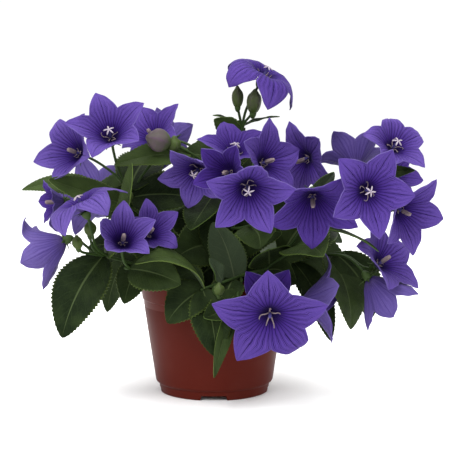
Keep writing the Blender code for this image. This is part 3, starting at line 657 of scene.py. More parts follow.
@dataclass(frozen=True)
class Petal:
    """The curve of one lobe from the throat out.

    Args:
        cup: How the petals open.
        length: Length along the surface, in millimetres.
        bend: Extra bend of the tip, in degrees.
    """

    cup: Cup
    length: float
    bend: float

    def slope(self, t: float) -> float:
        """Slope from the throat's plane at a share of the length, in radians."""
        throat, wall, flare, tip, _ = self.cup.value
        stops = ((0.0, throat), (0.25, wall), (0.6, flare), (1.0, tip))
        slope = float(tip)
        for (t0, s0), (t1, s1) in zip(stops, stops[1:]):
            if t <= t1:
                slope = s0 + (s1 - s0) * (t - t0) / (t1 - t0)
                break
        return math.radians(slope + self.bend * max(0.0, (t - SINUS) / (1 - SINUS)))

    def midrib(self, t: float, pieces: int = 24) -> tuple[float, float]:
        """Distance from the axis and height above the throat at a share of the length."""
        radius, height = FLOOR_RADIUS, 0.0
        for piece in range(pieces):
            slope = self.slope(t * (piece + 0.5) / pieces)
            radius += math.cos(slope) * self.length * t / pieces
            height += math.sin(slope) * self.length * t / pieces
        return radius, height


@dataclass
class Corolla:
    """Five joined petals with their veins, ribs and rippled margins.

    Args:
        key: The bloom's key.
        bloom: The bloom.
        finishes: Materials of the inside, the outside and the margin.
        columns: Faces across a lobe.
        rows_joined: Rows of faces up to the notches.
        rows_free: Rows of faces beyond them.
        sheet: Thickness, in millimetres.
        rib_depth: Depth of the groove over the middle rib, in millimetres.
        pleat: Height of the fold below each notch, in millimetres.
        ripple: Height of the waves in the margin, in millimetres.
        ripple_pitch: Turn of the waves over the length, in radians.
        rib_share: Share of the half width that the groove takes.
        swell: Height of the slow swelling of a lobe, in millimetres.
    """

    key: str
    bloom: Bloom
    finishes: Sequence[bpy.types.Material]
    columns: int = 18
    rows_joined: int = 13
    rows_free: int = 17
    sheet: float = 0.45
    rib_depth: float = 0.55
    pleat: float = 0.6
    ripple: float = 0.9
    ripple_pitch: float = 26
    rib_share: float = 0.13
    swell: float = 0.7

    def rows(self) -> list[float]:
        """Shares of the length at which the rows lie, closer together at the tip."""
        joined = [SINUS * step / self.rows_joined for step in range(self.rows_joined)]
        free = [SINUS + (1 - SINUS) * (1 - (1 - step / self.rows_free) ** 1.35)
                for step in range(self.rows_free + 1)]
        return joined + free

    def build(self) -> bpy.types.Object:
        """Makes the five lobes and joins them below the notches.

        Returns:
            The piece, which stands for the CAD petals.
        """
        bloom = self.bloom
        solid = Solid("corolla_" + self.key)
        draw = random.Random("petals " + self.key)
        frame_of = head_frame(bloom.throat, bloom.facing)
        shares = self.rows()
        for lobe in range(LOBES):
            petal = Petal(bloom.cup, bloom.length, bloom.bends[lobe])
            ribs = [petal.midrib(t) for t in shares]
            notch = ribs[self.rows_joined][0]
            turned = Matrix.Rotation(-math.radians(bloom.turn + LOBE_TURN * lobe), 4, "Z")
            phase, seed = draw.uniform(0, math.tau), draw.uniform(0, 40)
            lean = draw.uniform(-1.4, 1.4)

            def place(across: float, row: int) -> Vector:
                """Place of a corner of this lobe."""
                t = shares[row]
                flat = self.lobe_place(petal, ribs[row], notch, across, t, lean)
                lift = self.relief(across, t, phase, seed)
                slope = petal.slope(t)
                flat += Vector((0, -math.sin(slope), math.cos(slope))) * lift
                return frame_of @ turned @ flat

            solid.sheet(self.columns, shares, place, 0, bloom.tone, seed)
        bmesh.ops.remove_doubles(solid.bm, verts=solid.bm.verts, dist=WELD)
        rim = [edge for edge in solid.bm.edges if edge.is_boundary
               and all((vertex.co - Vector(bloom.throat)).length < FLOOR_RADIUS + 0.1
                       for vertex in edge.verts)]
        floor = bmesh.ops.holes_fill(solid.bm, edges=rim, sides=0)["faces"]
        for face in floor:
            if face.normal.dot(facing_axis(bloom.facing)) < 0:
                face.normal_flip()
        item = solid.piece(self.finishes, "petal", ["bloom_" + self.key])
        thickened(item, self.sheet, 1, 2)
        return item

    @staticmethod
    def lobe_place(petal: Petal, rib: tuple[float, float], notch: float, across: float,
                   t: float, lean: float) -> Vector:
        """Place on the smooth lobe, with Z out of the bloom and the tip along Y."""
        radius, height = rib
        angle = across * SECTOR
        if t <= SINUS:
            return Vector((radius * math.sin(angle), radius * math.cos(angle), height))
        past = (t - SINUS) / (1 - SINUS)
        half = notch * (1 - past) ** LOBE_TAPER * (1 + petal.cup.value[4] * past)
        back = notch * (1 - math.cos(angle)) * (1 - past)
        lift = LOBE_CUP * half * math.sin(SECTOR) * across ** 2 * math.sin(math.pi * past)
        slope = petal.slope(t)
        return Vector((half * math.sin(angle) + lean * past ** 2,
                       radius - back - lift * math.sin(slope), height + lift * math.cos(slope)))

    def relief(self, across: float, t: float, phase: float, seed: float) -> float:
        """Height of ribs, pleats and ripples over the smooth lobe, in millimetres."""
        past = max(0.0, (t - SINUS) / (1 - SINUS))
        open_share = ease(t, 0.0, 0.2)
        rib = math.exp(-(across / self.rib_share) ** 2)
        groove = -self.rib_depth * rib * open_share * (1 - 0.5 * past)
        fold = self.pleat * (abs(across) ** 3) * open_share * (1 - ease(t, SINUS, SINUS + 0.1))
        side = math.copysign(1, across)
        turn = phase + side * 1.7 + t * self.ripple_pitch
        wave = math.sin(turn) * abs(across) ** 3 * past * (1 - past ** 4)
        swell = drift(Vector((across * 9, t * 30, 0)), 14, seed) * ease(t, 0.25, 0.9)
        return groove + fold + self.ripple * wave + self.swell * swell * (1 - past ** 6)


@dataclass
class Middle:
    """Style, stigma and stamens in a bloom's throat.

    Args:
        key: The bloom's key.
        bloom: The bloom.
        finishes: Materials of the style, the stigma and the anthers.
    """

    key: str
    bloom: Bloom
    finishes: Sequence[bpy.types.Material]

    def build(self) -> bpy.types.Object:
        """Makes the middle.

        Returns:
            The piece, which stands for the CAD pistil where there is one.
        """
        solid = Solid("pistil_" + self.key)
        bloom = self.bloom
        frame_of = head_frame(bloom.throat, bloom.facing, bloom.turn)
        draw = random.Random("middle " + self.key)
        parts = {Pistil.CLUB: self.club, Pistil.STAR: self.star, Pistil.POST: self.post}
        parts[bloom.pistil](solid, frame_of, draw)
        nodes = [] if bloom.fused else ["pistil_" + self.key]
        return solid.piece(self.finishes, "pistil", nodes)

    def club(self, solid: Solid, frame_of: Matrix, draw: random.Random) -> None:
        """Style hidden by five shut anthers."""
        solid.spun(((0, 0.2), (1.0, 0.2), (0.9, 2.4), (1.0, 4.6), (0, 4.8)), 12, frame_of, 0)
        solid.spun(((0, 4.2), (0.8, 4.4), (1.15, 5.6), (1.35, 8.4), (1.3, 10.6), (0.85, 12.2),
                    (0, 12.7)), 15, frame_of, 2)
        for lobe in range(LOBES):
            turned = frame_of @ Matrix.Rotation(LOBE_ANGLE * (lobe + 0.5), 4, "Z")
            made = bmesh.ops.create_uvsphere(solid.bm, u_segments=8, v_segments=6, radius=1.0)
            size = Matrix.Diagonal((0.52, 0.42, 3.9, 1))
            spot = Matrix.Translation((0, 1.15, 8.4 + draw.uniform(-0.2, 0.2)))
            bmesh.ops.transform(solid.bm, matrix=turned @ spot @ size, verts=made["verts"])
            solid.mark(made["verts"], 2, 0.2)
        self.threads(solid, frame_of, draw, 3.0, 1.6)

    def star(self, solid: Solid, frame_of: Matrix, draw: random.Random) -> None:
        """Style with an open five-armed stigma, over withered stamens."""
        solid.spun(((0, 0.2), (1.15, 0.3), (0.95, 3.0), (0.8, 7.5), (0.9, 9.6), (0, 10.2)), 12,
                   frame_of, 0)
        for arm in range(LOBES):
            turned = frame_of @ Matrix.Rotation(LOBE_ANGLE * arm, 4, "Z")
            lean = Matrix.Rotation(math.radians(draw.uniform(-24, -8)), 4, "X")
            made = bmesh.ops.create_uvsphere(solid.bm, u_segments=8, v_segments=7, radius=1.0)
            for vertex in made["verts"]:
                vertex.co = Vector((vertex.co.x * 0.55, vertex.co.y * 2.1 + 2.0,
                                    vertex.co.z * 0.42 - 0.12 * (vertex.co.y + 1) ** 2))
            spot = Matrix.Translation((0, 0.1, 10.0))
            bmesh.ops.transform(solid.bm, matrix=turned @ spot @ lean, verts=made["verts"])
            solid.mark(made["verts"], 1, 0.0)
        self.threads(solid, frame_of, draw, 6.0, 2.4)

    def post(self, solid: Solid, frame_of: Matrix, draw: random.Random) -> None:
        """Short dark style ringed by five curled stamens."""
        solid.spun(((0, 0.2), (1.0, 0.3), (0.9, 2.4), (1.05, 5.0), (0.7, 6.0), (0, 6.2)), 12,
                   frame_of, 0)
        for lobe in range(LOBES):
            turned = frame_of @ Matrix.Rotation(LOBE_ANGLE * (lobe + 0.5), 4, "Z")
            made = bmesh.ops.create_uvsphere(solid.bm, u_segments=8, v_segments=6, radius=1.0)
            size = Matrix.Diagonal((0.5, 0.42, 1.9, 1))
            bmesh.ops.transform(solid.bm, matrix=turned @ Matrix.Translation((0, 0.85, 4.2)) @ size,
                                verts=made["verts"])
            solid.mark(made["verts"], 0, 0.0)
        self.threads(solid, frame_of, draw, 7.4, 3.4, 0.48, 0.4)

    @staticmethod
    def threads(solid: Solid, frame_of: Matrix, draw: random.Random, reach: float,
                curl: float, thick: float = 0.3, loose: float = 1.0) -> None:
        """Adds five stamens that lie out over the petals.

        Args:
            solid: Mesh that they join.
            frame_of: The bloom's frame.
            draw: Source of the small differences.
            reach: How far from the axis they go, in millimetres.
            curl: How far they curl up at the end, in millimetres.
            thick: Radius at the foot, in millimetres.
            loose: How far they stray from an even ring.
        """
        lines = []
        for stamen in range(LOBES):
            angle = LOBE_ANGLE * stamen + draw.uniform(-0.3, 0.3)
            swing, length = loose * draw.uniform(-0.9, 0.9), reach * draw.uniform(0.85, 1.1)
            line = []
            for step in range(9):
                share = step / 8
                radius = 1.0 + (length - 1.0) * math.sin(share * 1.75) / math.sin(1.57)
                around = angle + swing * share ** 2
                height = 0.6 + radius * 0.62 + curl * share ** 2 * 0.35 + 0.5 * math.sin(share * 9)
                line.append(frame_of @ Vector((radius * math.sin(around),
                                               radius * math.cos(around), height)))
            lines.append((line, thick, thick * 0.6))
        solid.tubes(lines, 2, 6)


@dataclass
class Shoot:
    """The green of one stem: stalks, calyces, buds and leaves.

    Args:
        key: The stem's key.
        stem: The stem.
        green: Materials of stalks and buds.
        blades: Materials of a leaf's top, underside and edge.
        tooth_pitch: Distance between teeth along the margin, in millimetres.
        tooth_depth: Share of the half width that a tooth cuts in.
        columns: Faces across a leaf.
        sheet: Thickness of a leaf, in millimetres.
        rib_depth: Depth of the groove over the middle rib, in millimetres.
        vein_depth: Depth of the grooves over the side veins, in millimetres.
        fine_steps: Steps of a stalk for each step of its solid.
    """

    key: str
    stem: Stem
    green: Sequence[bpy.types.Material]
    blades: Sequence[bpy.types.Material]
    tooth_pitch: float = 2.6
    tooth_depth: float = 0.085
    columns: int = 12
    sheet: float = 0.5
    rib_depth: float = 0.5
    vein_depth: float = 0.22
    fine_steps: int = 4

    def lines(self) -> dict[str, Line]:
        """Centre lines of the stem, its twigs and its stalks, as its solid has them."""
        stem = self.stem
        right, back = stem.line[0]
        points = [Vector((right, back, SOIL_HEIGHT + 3)), *(Vector(place) for place in stem.line[1:])]
        trunk = [Vector((right, back, STEM_BOTTOM)), *smooth_line(points, STEM_STEPS)]
        lines = {"stem": trunk}
        for name, (fraction, end) in stem.twigs.items():
            start, end = point_on(trunk, fraction), Vector(end)
            rise = direction_on(trunk, fraction) * (end - start).length * 0.4
            lines[name] = bent_line(start, start + rise, start.lerp(end, 0.7), end)
        for name, (carrier, fraction) in stem.blooms.items():
            bloom = BLOOMS[name]
            end = Vector(bloom.throat) - facing_axis(bloom.facing) * (CALYX_DEPTH - 1.5)
            lines[name] = self.stalk(lines[carrier], fraction, end, bloom.facing)
        for name, bud in stem.buds.items():
            end = Vector(bud.middle) - facing_axis(bud.facing) * bud.length * 0.35
            lines[name] = self.stalk(lines[bud.carrier], bud.fraction, end, bud.facing)
        return lines

    @staticmethod
    def stalk(carrier: Line, fraction: float, end: Vector, facing: tuple[float, float]) -> Line:
        """Line that leaves a carrier along it and ends in line with what it holds."""
        start = point_on(carrier, fraction)
        span = (end - start).length
        rise = direction_on(carrier, fraction) * span * 0.35
        return bent_line(start, start + rise, end - facing_axis(facing) * span * 0.2, end)

    def build(self) -> list[bpy.types.Object]:
        """Makes the stalks with their calyces and buds, and the leaves.

        Returns:
            The two pieces, which stand for the CAD stem together.
        """
        lines = self.lines()
        solid = Solid("stalks_" + self.key)
        tubes = []
        for name, line in lines.items():
            fine = smooth_line(line, (len(line) - 1) * self.fine_steps)
            thick = STEM_RADIUS if name == "stem" else TWIG_RADIUS
            tubes.append((fine, thick, TWIG_RADIUS * 0.95))
        solid.tubes(tubes, 0)
        for name in self.stem.blooms:
            bloom = BLOOMS[name]
            self.calyx(solid, head_frame(bloom.throat, bloom.facing, bloom.turn))
        for name, bud in self.stem.buds.items():
            self.bud(solid, bud)
        node = "stem_" + self.key
        pieces = [solid.piece(self.green, "foliage", [node])]
        blades = Solid("leaves_" + self.key)
        for index, leaf in enumerate(self.stem.leaves):
            self.blade(blades, leaf, point_on(lines[leaf.carrier], leaf.fraction), index)
        pieces.append(blades.piece(self.blades, "foliage", [node]))
        thickened(pieces[-1], self.sheet, 1, 2)
        return pieces

    @staticmethod
    def calyx(solid: Solid, frame_of: Matrix, size: float = 1.0, lift: float = 0.0) -> None:
        """Adds the green cup with five sepals under a bloom or bud.

        Args:
            solid: Mesh that it joins.
            frame_of: Frame of the bloom.
            size: Share of a bloom's calyx.
            lift: Degrees that the sepals rise.
        """
        scaled = frame_of @ Matrix.Scale(size, 4)
        solid.spun(((0, -7.0), (1.1, -6.8), (2.1, -5.6), (3.0, -3.6), (3.3, -1.6), (3.0, -0.75),
                    (0, -0.75)), 15, scaled, 0, 0.3)
        for sepal in range(LOBES):
            made = bmesh.ops.create_cone(solid.bm, cap_ends=True, segments=10, radius1=1.0,
                                         radius2=0.06, depth=1.0)
            for vertex in made["verts"]:
                share = vertex.co.z + 0.5
                width = 1.25 * (1 + 0.5 * share)
                vertex.co = Vector((vertex.co.x * width, 2.3 + share * 6.4,
                                    -1.3 + vertex.co.y * 0.38 + share * 0.9 * (1 - share) * 2.0))
            hinge = Matrix.Translation((0, 2.6, -1.6))
            risen = hinge @ Matrix.Rotation(math.radians(lift), 4, "X") @ hinge.inverted()
            turned = scaled @ Matrix.Rotation(-LOBE_ANGLE * sepal, 4, "Z") @ risen
            bmesh.ops.transform(solid.bm, matrix=turned, verts=made["verts"])
            solid.mark(made["verts"], 0, 0.35)

    def bud(self, solid: Solid, bud: Bud) -> None:
        """Adds a five-angled balloon on its small calyx."""
        frame_of = head_frame(bud.middle, bud.facing)
        made = bmesh.ops.create_uvsphere(solid.bm, u_segments=40, v_segments=20, radius=0.5)
        for vertex in made["verts"]:
            angle = math.atan2(vertex.co.y, vertex.co.x)
            up = vertex.co.z + 0.5
            ridge = 1 + 0.07 * math.cos(LOBES * angle) * ease(up, 0.15, 0.6)
            point = 1 - 0.35 * ease(up, 0.72, 1.0)
            vertex.co = Vector((vertex.co.x * bud.width * ridge * point,
                                vertex.co.y * bud.width * ridge * point,
                                vertex.co.z * bud.length + 0.9 * ease(up, 0.86, 1.0)))
            line = max(0.0, math.cos(LOBES * angle)) ** 6
            vertex[solid.tone] = bud.tint * (0.3 + 1.4 * ease(up, 0.1, 0.55)) + 0.22 * line
        bmesh.ops.transform(solid.bm, matrix=frame_of, verts=made["verts"])
        for face in {face for vertex in made["verts"] for face in vertex.link_faces}:
            face.material_index = 1
        foot = Matrix.Translation((0, 0, -0.5 * bud.length + 1.7))
        self.calyx(solid, frame_of @ foot, 0.15 * bud.width ** 0.7, 58.0)

    def blade(self, solid: Solid, leaf: Leaf, base: Vector, index: int) -> None:
        """Adds one saw-edged leaf, arched along its length and folded at its rib.

        Args:
            solid: Mesh that it joins.
            leaf: The leaf.
            base: Where it leaves its carrier.
            index: Its place in the stem's list, which seeds its small differences.
        """
        draw = random.Random(f"leaf {self.key} {index}")
        tip = Vector(leaf.tip)
        chord = tip - base
        upright = abs(chord.normalized().z) >= 0.97
        level = Vector((base.x, base.y, 0)) if upright else Vector((0, 0, 1))
        across = chord.cross(level).normalized()
        upward = across.cross(chord).normalized()
        lean = Matrix.Rotation(math.radians(leaf.roll), 3, chord)
        side_way, face_way = lean @ across, lean @ upward
        middle = (base + tip) / 2 + upward * leaf.arch * 2
        teeth = max(5, round(chord.length / self.tooth_pitch))
        shares = [0.0]
        for tooth in range(teeth):
            shares += [(tooth + 0.72) / (teeth + 1), (tooth + 0.98) / (teeth + 1)]
        shares += [(teeth + 0.6) / (teeth + 1), 1.0]
        phase, seed = draw.uniform(0, math.tau), draw.uniform(0, 40)
        wave, twist = draw.uniform(0.5, 1.1), draw.uniform(-0.12, 0.12)
        margin = 1.0 if leaf.toothed else 0.0

        def place(share: float, row: int) -> Vector:
            """Place of a corner of this leaf."""
            along = shares[row]
            inside = 0 < along < 1
            swell = math.sin(math.pi * along ** LEAF_WIDEST) ** LEAF_FULLNESS if inside else 0.0
            notch = row % 2 == 0 and inside and row < len(shares) - 2
            cut = 1 - self.tooth_depth * margin * notch * ease(abs(share), 0.84, 1.0)
            half = 0.5 * leaf.width * swell * cut + LEAF_STALK * (1 - along)
            spot = base.lerp(middle, along).lerp(middle.lerp(tip, along), along)
            fold = LEAF_FOLD * (1 - 0.35 * abs(share))
            body = (side_way * share * half * math.cos(fold)
                    + face_way * abs(share) * half * math.sin(fold))
            row_of_veins = math.pi * (along * LEAF_VEINS - LEAF_SLANT * abs(share))
            vein = -self.vein_depth * abs(math.sin(row_of_veins)) * swell
            curl = wave * math.sin(phase + along * 9 + math.copysign(0.8, share)) * abs(share) ** 2
            bow = drift(Vector((share * 6, along * 24, 0)), 12, seed) * 0.8
            rib = self.rib_depth * math.exp(-(share / 0.12) ** 2) * swell
            turn = Matrix.Rotation(twist * math.sin(math.pi * along), 3, chord)
            rise = vein * (1 - abs(share)) + (curl + bow) * swell - rib
            return spot + turn @ body + face_way * rise

        pale = min(1.0, max(0.0, leaf.pale + draw.uniform(-0.2, 0.2)))
        corners = solid.sheet(self.columns, shares, place, int(leaf.flipped), pale, seed)
        bmesh.ops.remove_doubles(solid.bm, verts=corners, dist=WELD)


@dataclass
class Pot:
    """Tapered plastic pot with its rim band, ring line, notched foot and drain holes.

    Args:
        plastic: Its material.
        steps: Steps round.
        notches: Notches in the foot ring.
        notch_width: Width of a notch, in millimetres.
        notch_height: Height of a notch, in millimetres.
        drains: Drain holes.
        drain_radius: Radius of a drain hole, in millimetres.
        drain_ring: Drain hole's distance from the axis, in millimetres.
    """

    plastic: bpy.types.Material
    steps: int = 144
    notches: int = 4
    notch_width: float = 17.0
    notch_height: float = 3.3
    drains: int = 5
    drain_radius: float = 3.0
    drain_ring: float = 27.0

    def profile(self) -> list[tuple[float, float]]:
        """Radius and height of the wall, from the floor inside to the floor outside."""
        rim = RIM_RADIUS
        return [
            (0.0, 5.6), (37.0, 5.6), (37.6, 5.9), (40.6, 9.0), (44.6, 40.0), (49.0, 66.4),
            (49.6, 67.2), (rim - 1.2, 77.0), (rim - 1.0, 77.7), (rim - 0.6, POT_HEIGHT),
            (rim - 0.2, 77.9), (rim, 77.5), (rim - 0.05, 76.9), (rim - 0.55, 72.4),
            (rim - 1.25, 67.3), (rim - 1.4, 66.8), (rim - 1.75, 66.4), (rim - 2.15, 66.2),
            (rim - 2.28, 65.8), (50.05, 62.2), (49.75, 61.8), (49.7, 61.2), (49.85, 60.8),
            (46.2, 36.0), (41.95, 8.9), (41.75, 8.0), (41.2, 7.3), (40.0, 6.4), (39.5, 5.9),
            (39.3, 5.2), (38.85, 0.7), (38.6, 0.2), (38.2, 0.0), (37.6, 0.0), (37.25, 0.3),
            (37.2, 0.9), (37.2, 4.2), (37.0, 4.4), (0.0, 4.4),
        ]

    def cutters(self) -> bpy.types.Object:
        """One mesh of the notches and drain holes."""
        bm = bmesh.new()
        for notch in range(self.notches):
            made = bmesh.ops.create_cube(bm, size=1.0)
            for vertex in made["verts"]:
                lower = vertex.co.z < 0
                half = self.notch_width / 2 + (1.2 if lower else 0.0)
                vertex.co = Vector((math.copysign(half, vertex.co.x),
                                    39.4 + math.copysign(7.0, vertex.co.y),
                                    -1.0 if lower else self.notch_height))
            turned = Matrix.Rotation(math.tau * notch / self.notches, 4, "Z")
            bmesh.ops.transform(bm, matrix=turned, verts=made["verts"])
        for drain in range(self.drains):
            angle = math.tau * (drain + 0.5) / self.drains
            made = bmesh.ops.create_cone(bm, cap_ends=True, segments=24,
                                         radius1=self.drain_radius,
                                         radius2=self.drain_radius, depth=5.0)
            place = (self.drain_ring * math.cos(angle), self.drain_ring * math.sin(angle), 5.0)
            bmesh.ops.translate(bm, verts=made["verts"], vec=place)
        for vertex in bm.verts:
            vertex.co = in_metres(vertex.co)
        mesh = bpy.data.meshes.new("cutters")
        bm.to_mesh(mesh)
        bm.free()
        item = bpy.data.objects.new("cutters", mesh)
        bpy.context.scene.collection.objects.link(item)
        return item

    def build(self) -> bpy.types.Object:
        """Makes the pot.

        Returns:
            The piece, which stands for the CAD pot.
        """
        solid = Solid("flower_pot")
        solid.spun(self.profile(), self.steps, Matrix.Identity(4))
        item = solid.piece([self.plastic], "pot_plastic", ["pot"])
        tool = self.cutters()
        cut = item.modifiers.new("Cut", "BOOLEAN")
        cut.object = tool
        cut.solver = "EXACT"
        bpy.context.view_layer.update()
        graph = bpy.context.evaluated_depsgraph_get()
        mesh = bpy.data.meshes.new_from_object(item.evaluated_get(graph))
        item.modifiers.clear()
        item.data = mesh
        bpy.data.objects.remove(tool, do_unlink=True)
        mesh.set_sharp_from_angle(angle=math.radians(38))
        return item


@dataclass
class Soil:
    """Peat that fills the pot, with crumbs and white grains on top.

    Args:
        peat: Its material.
        grain: Material of the white grains.
        crumbs: Loose lumps on the top.
        grains: White grains on the top.
        crown: Height of the middle of the surface, in millimetres.
        fall: Fall of the surface at a distance from the axis, per square millimetre.
        ring: Distance between the rings of the surface, in millimetres.
    """

    peat: bpy.types.Material
    grain: bpy.types.Material
    crumbs: int = 620
    grains: int = 60
    crown: float = 67.6
    fall: float = 0.0005
    ring: float = 1.6

    def build(self) -> bpy.types.Object:
        """Makes the soil.

        Returns:
            The piece, which stands for the CAD soil.
        """
        solid = Solid("peat")
        surface = [(self.ring * step, self.crown - self.fall * (self.ring * step) ** 2)
                   for step in range(1, 30)]
        rings = [(0.0, 67.7), *surface, (48.2, 65.9), (46.0, 50.0), (40.3, 9.4), (36.9, 5.95),
                 (0.0, 5.95)]
        top = solid.spun(rings, 120, Matrix.Identity(4))
        for vertex in top:
            if vertex.co.z > 65 and vertex.co.xy.length < 47.8:
                lump = drift(vertex.co, 3.2, 1.0) + 0.5 * drift(vertex.co, 1.3, 2.0)
                vertex.co.z += 0.75 * lump - 0.2
        draw = random.Random("peat")
        for index in range(self.crumbs + self.grains):
            white = index >= self.crumbs
            angle, radius = draw.uniform(0, math.tau), 47.0 * math.sqrt(draw.random())
            size = draw.uniform(0.5, 1.5) if white else draw.uniform(0.45, 1.9)
            made = bmesh.ops.create_icosphere(solid.bm, subdivisions=1, radius=size)
            for vertex in made["verts"]:
                vertex.co *= draw.uniform(0.72, 1.2)
            height = 67.3 - self.fall * radius ** 2 + size * 0.3
            spot = Matrix.Translation((radius * math.cos(angle), radius * math.sin(angle), height))
            flat = Matrix.Rotation(draw.uniform(0, 3), 4, "X") @ Matrix.Diagonal((1, 0.8, 0.7, 1))
            bmesh.ops.transform(solid.bm, matrix=spot @ flat, verts=made["verts"])
            solid.mark(made["verts"], 1 if white else 0, draw.random())
        return solid.piece([self.peat, self.grain], "soil", ["soil"], smooth=False)


class Web:
    """Adds and joins the nodes of one material or node group.

    Args:
        tree: The node tree.
    """

    def __init__(self, tree: bpy.types.NodeTree) -> None:
        """Keeps the tree."""
        self.tree = tree

    def node(self, kind: str, feeds: dict | None = None, **settings: object) -> bpy.types.Node:
        """Adds a node.

        Args:
            kind: Its type.
            feeds: Value or output for each of its inputs, by name or number.
            **settings: Its own settings.

        Returns:
            The node.
        """
        made = self.tree.nodes.new(kind)
        for name, value in settings.items():
            setattr(made, name, value)
        for name, value in (feeds or {}).items():
            self.feed(made.inputs[name], value)
        return made

    def feed(self, socket: bpy.types.NodeSocket, value: object) -> None:
        """Joins an output to a socket, or sets the socket's own value."""
        if isinstance(value, bpy.types.NodeSocket):
            self.tree.links.new(value, socket)
        elif isinstance(value, tuple) and len(value) == 3 and socket.type == "RGBA":
            socket.default_value = (*value, 1.0)
        else:
            socket.default_value = value

    def sum(self, operation: str, a: object, b: object = 0.0, clamp: bool = False
            ) -> bpy.types.NodeSocket:
        """Output of a Math node."""
        return self.node("ShaderNodeMath", {0: a, 1: b}, operation=operation,
                         use_clamp=clamp).outputs[0]

    def plus(self, a: object, b: object, clamp: bool = False) -> bpy.types.NodeSocket:
        """Sum of two values."""
        return self.sum("ADD", a, b, clamp)

    def minus(self, a: object, b: object) -> bpy.types.NodeSocket:
        """Difference of two values."""
        return self.sum("SUBTRACT", a, b)

    def times(self, a: object, b: object, clamp: bool = False) -> bpy.types.NodeSocket:
        """Product of two values."""
        return self.sum("MULTIPLY", a, b, clamp)

    def size(self, value: object) -> bpy.types.NodeSocket:
        """Value without its sign."""
        return self.sum("ABSOLUTE", value)

    def rest(self, value: object) -> bpy.types.NodeSocket:
        """What a value leaves of 1."""
        return self.minus(1.0, value)

    def fade(self, value: object, low: object, high: object) -> bpy.types.NodeSocket:
        """Smooth step of a value from 0 at low to 1 at high."""
        made = self.node("ShaderNodeMapRange", {"Value": value}, interpolation_type="SMOOTHSTEP")
        self.feed(made.inputs["From Min"], low)
        self.feed(made.inputs["From Max"], high)
        return made.outputs["Result"]

    def mix(self, share: object, a: object, b: object, blend: str = "MIX") -> bpy.types.NodeSocket:
        """Output of a colour Mix node."""
        made = self.node("ShaderNodeMix", data_type="RGBA", blend_type=blend)
        self.feed(made.inputs[0], share)
        self.feed(made.inputs[6], a)
        self.feed(made.inputs[7], b)
        return made.outputs[2]

    def ramp(self, value: object, stops: Sequence[tuple[float, Colour]]) -> bpy.types.NodeSocket:
        """Output of a Color Ramp node."""
        made = self.node("ShaderNodeValToRGB", {"Fac": value})
        line = made.color_ramp.elements
        while len(line) < len(stops):
            line.new(0.5)
        for element, (position, colour) in zip(line, stops):
            element.position = position
            element.color = (*colour, 1.0)
        return made.outputs["Color"]

    def noise(self, vector: object, scale: float, detail: float = 2.0) -> bpy.types.NodeSocket:
        """Value of a Noise Texture."""
        return self.node("ShaderNodeTexNoise", {"Vector": vector, "Scale": scale,
                                                "Detail": detail}).outputs["Fac"]

    def layer(self, name: str) -> bpy.types.NodeSocket:
        """Value of one of the mesh's own layers."""
        return self.node("ShaderNodeAttribute", attribute_name=name).outputs["Fac"]

    def spot(self) -> bpy.types.NodeSocket:
        """Place in the frame, in metres."""
        return self.node("ShaderNodeTexCoord").outputs["Object"]

    def bump(self, height: object, strength: float, distance: float) -> bpy.types.NodeSocket:
        """Normal of a Bump node."""
        return self.node("ShaderNodeBump", {"Height": height, "Strength": strength,
                                            "Distance": distance}).outputs["Normal"]


def start_finish(name: str, **constants: object) -> tuple[bpy.types.Material, Web, bpy.types.Node]:
    """Starts a material.

    Args:
        name: Its name.
        **constants: Values for the shader's own sockets, with _ for a space.

    Returns:
        The material, its web of nodes and its shader.
    """
    material = bpy.data.materials.new(name)
    material.use_nodes = True
    web = Web(material.node_tree)
    shader = material.node_tree.nodes["Principled BSDF"]
    for socket, value in constants.items():
        web.feed(shader.inputs[socket.replace("_", " ")], value)
    return material, web, shader


def start_group(name: str, inputs: Sequence[str], outputs: Sequence[str]
                ) -> tuple[bpy.types.NodeTree, Web, dict, bpy.types.Node]:
    """Starts a node group with number sockets.

    Args:
        name: Its name.
        inputs: Names of its inputs.
        outputs: Names of its outputs.

    Returns:
        The group, its web of nodes, its inputs by name and its output node.
    """
    tree = bpy.data.node_groups.new(name, "ShaderNodeTree")
    for label in inputs:
        tree.interface.new_socket(label, in_out="INPUT", socket_type="NodeSocketFloat")
    for label in outputs:
        tree.interface.new_socket(label, in_out="OUTPUT", socket_type="NodeSocketFloat")
    web = Web(tree)
    entry = web.node("NodeGroupInput").outputs
    return tree, web, {label: entry[label] for label in inputs}, web.node("NodeGroupOutput")


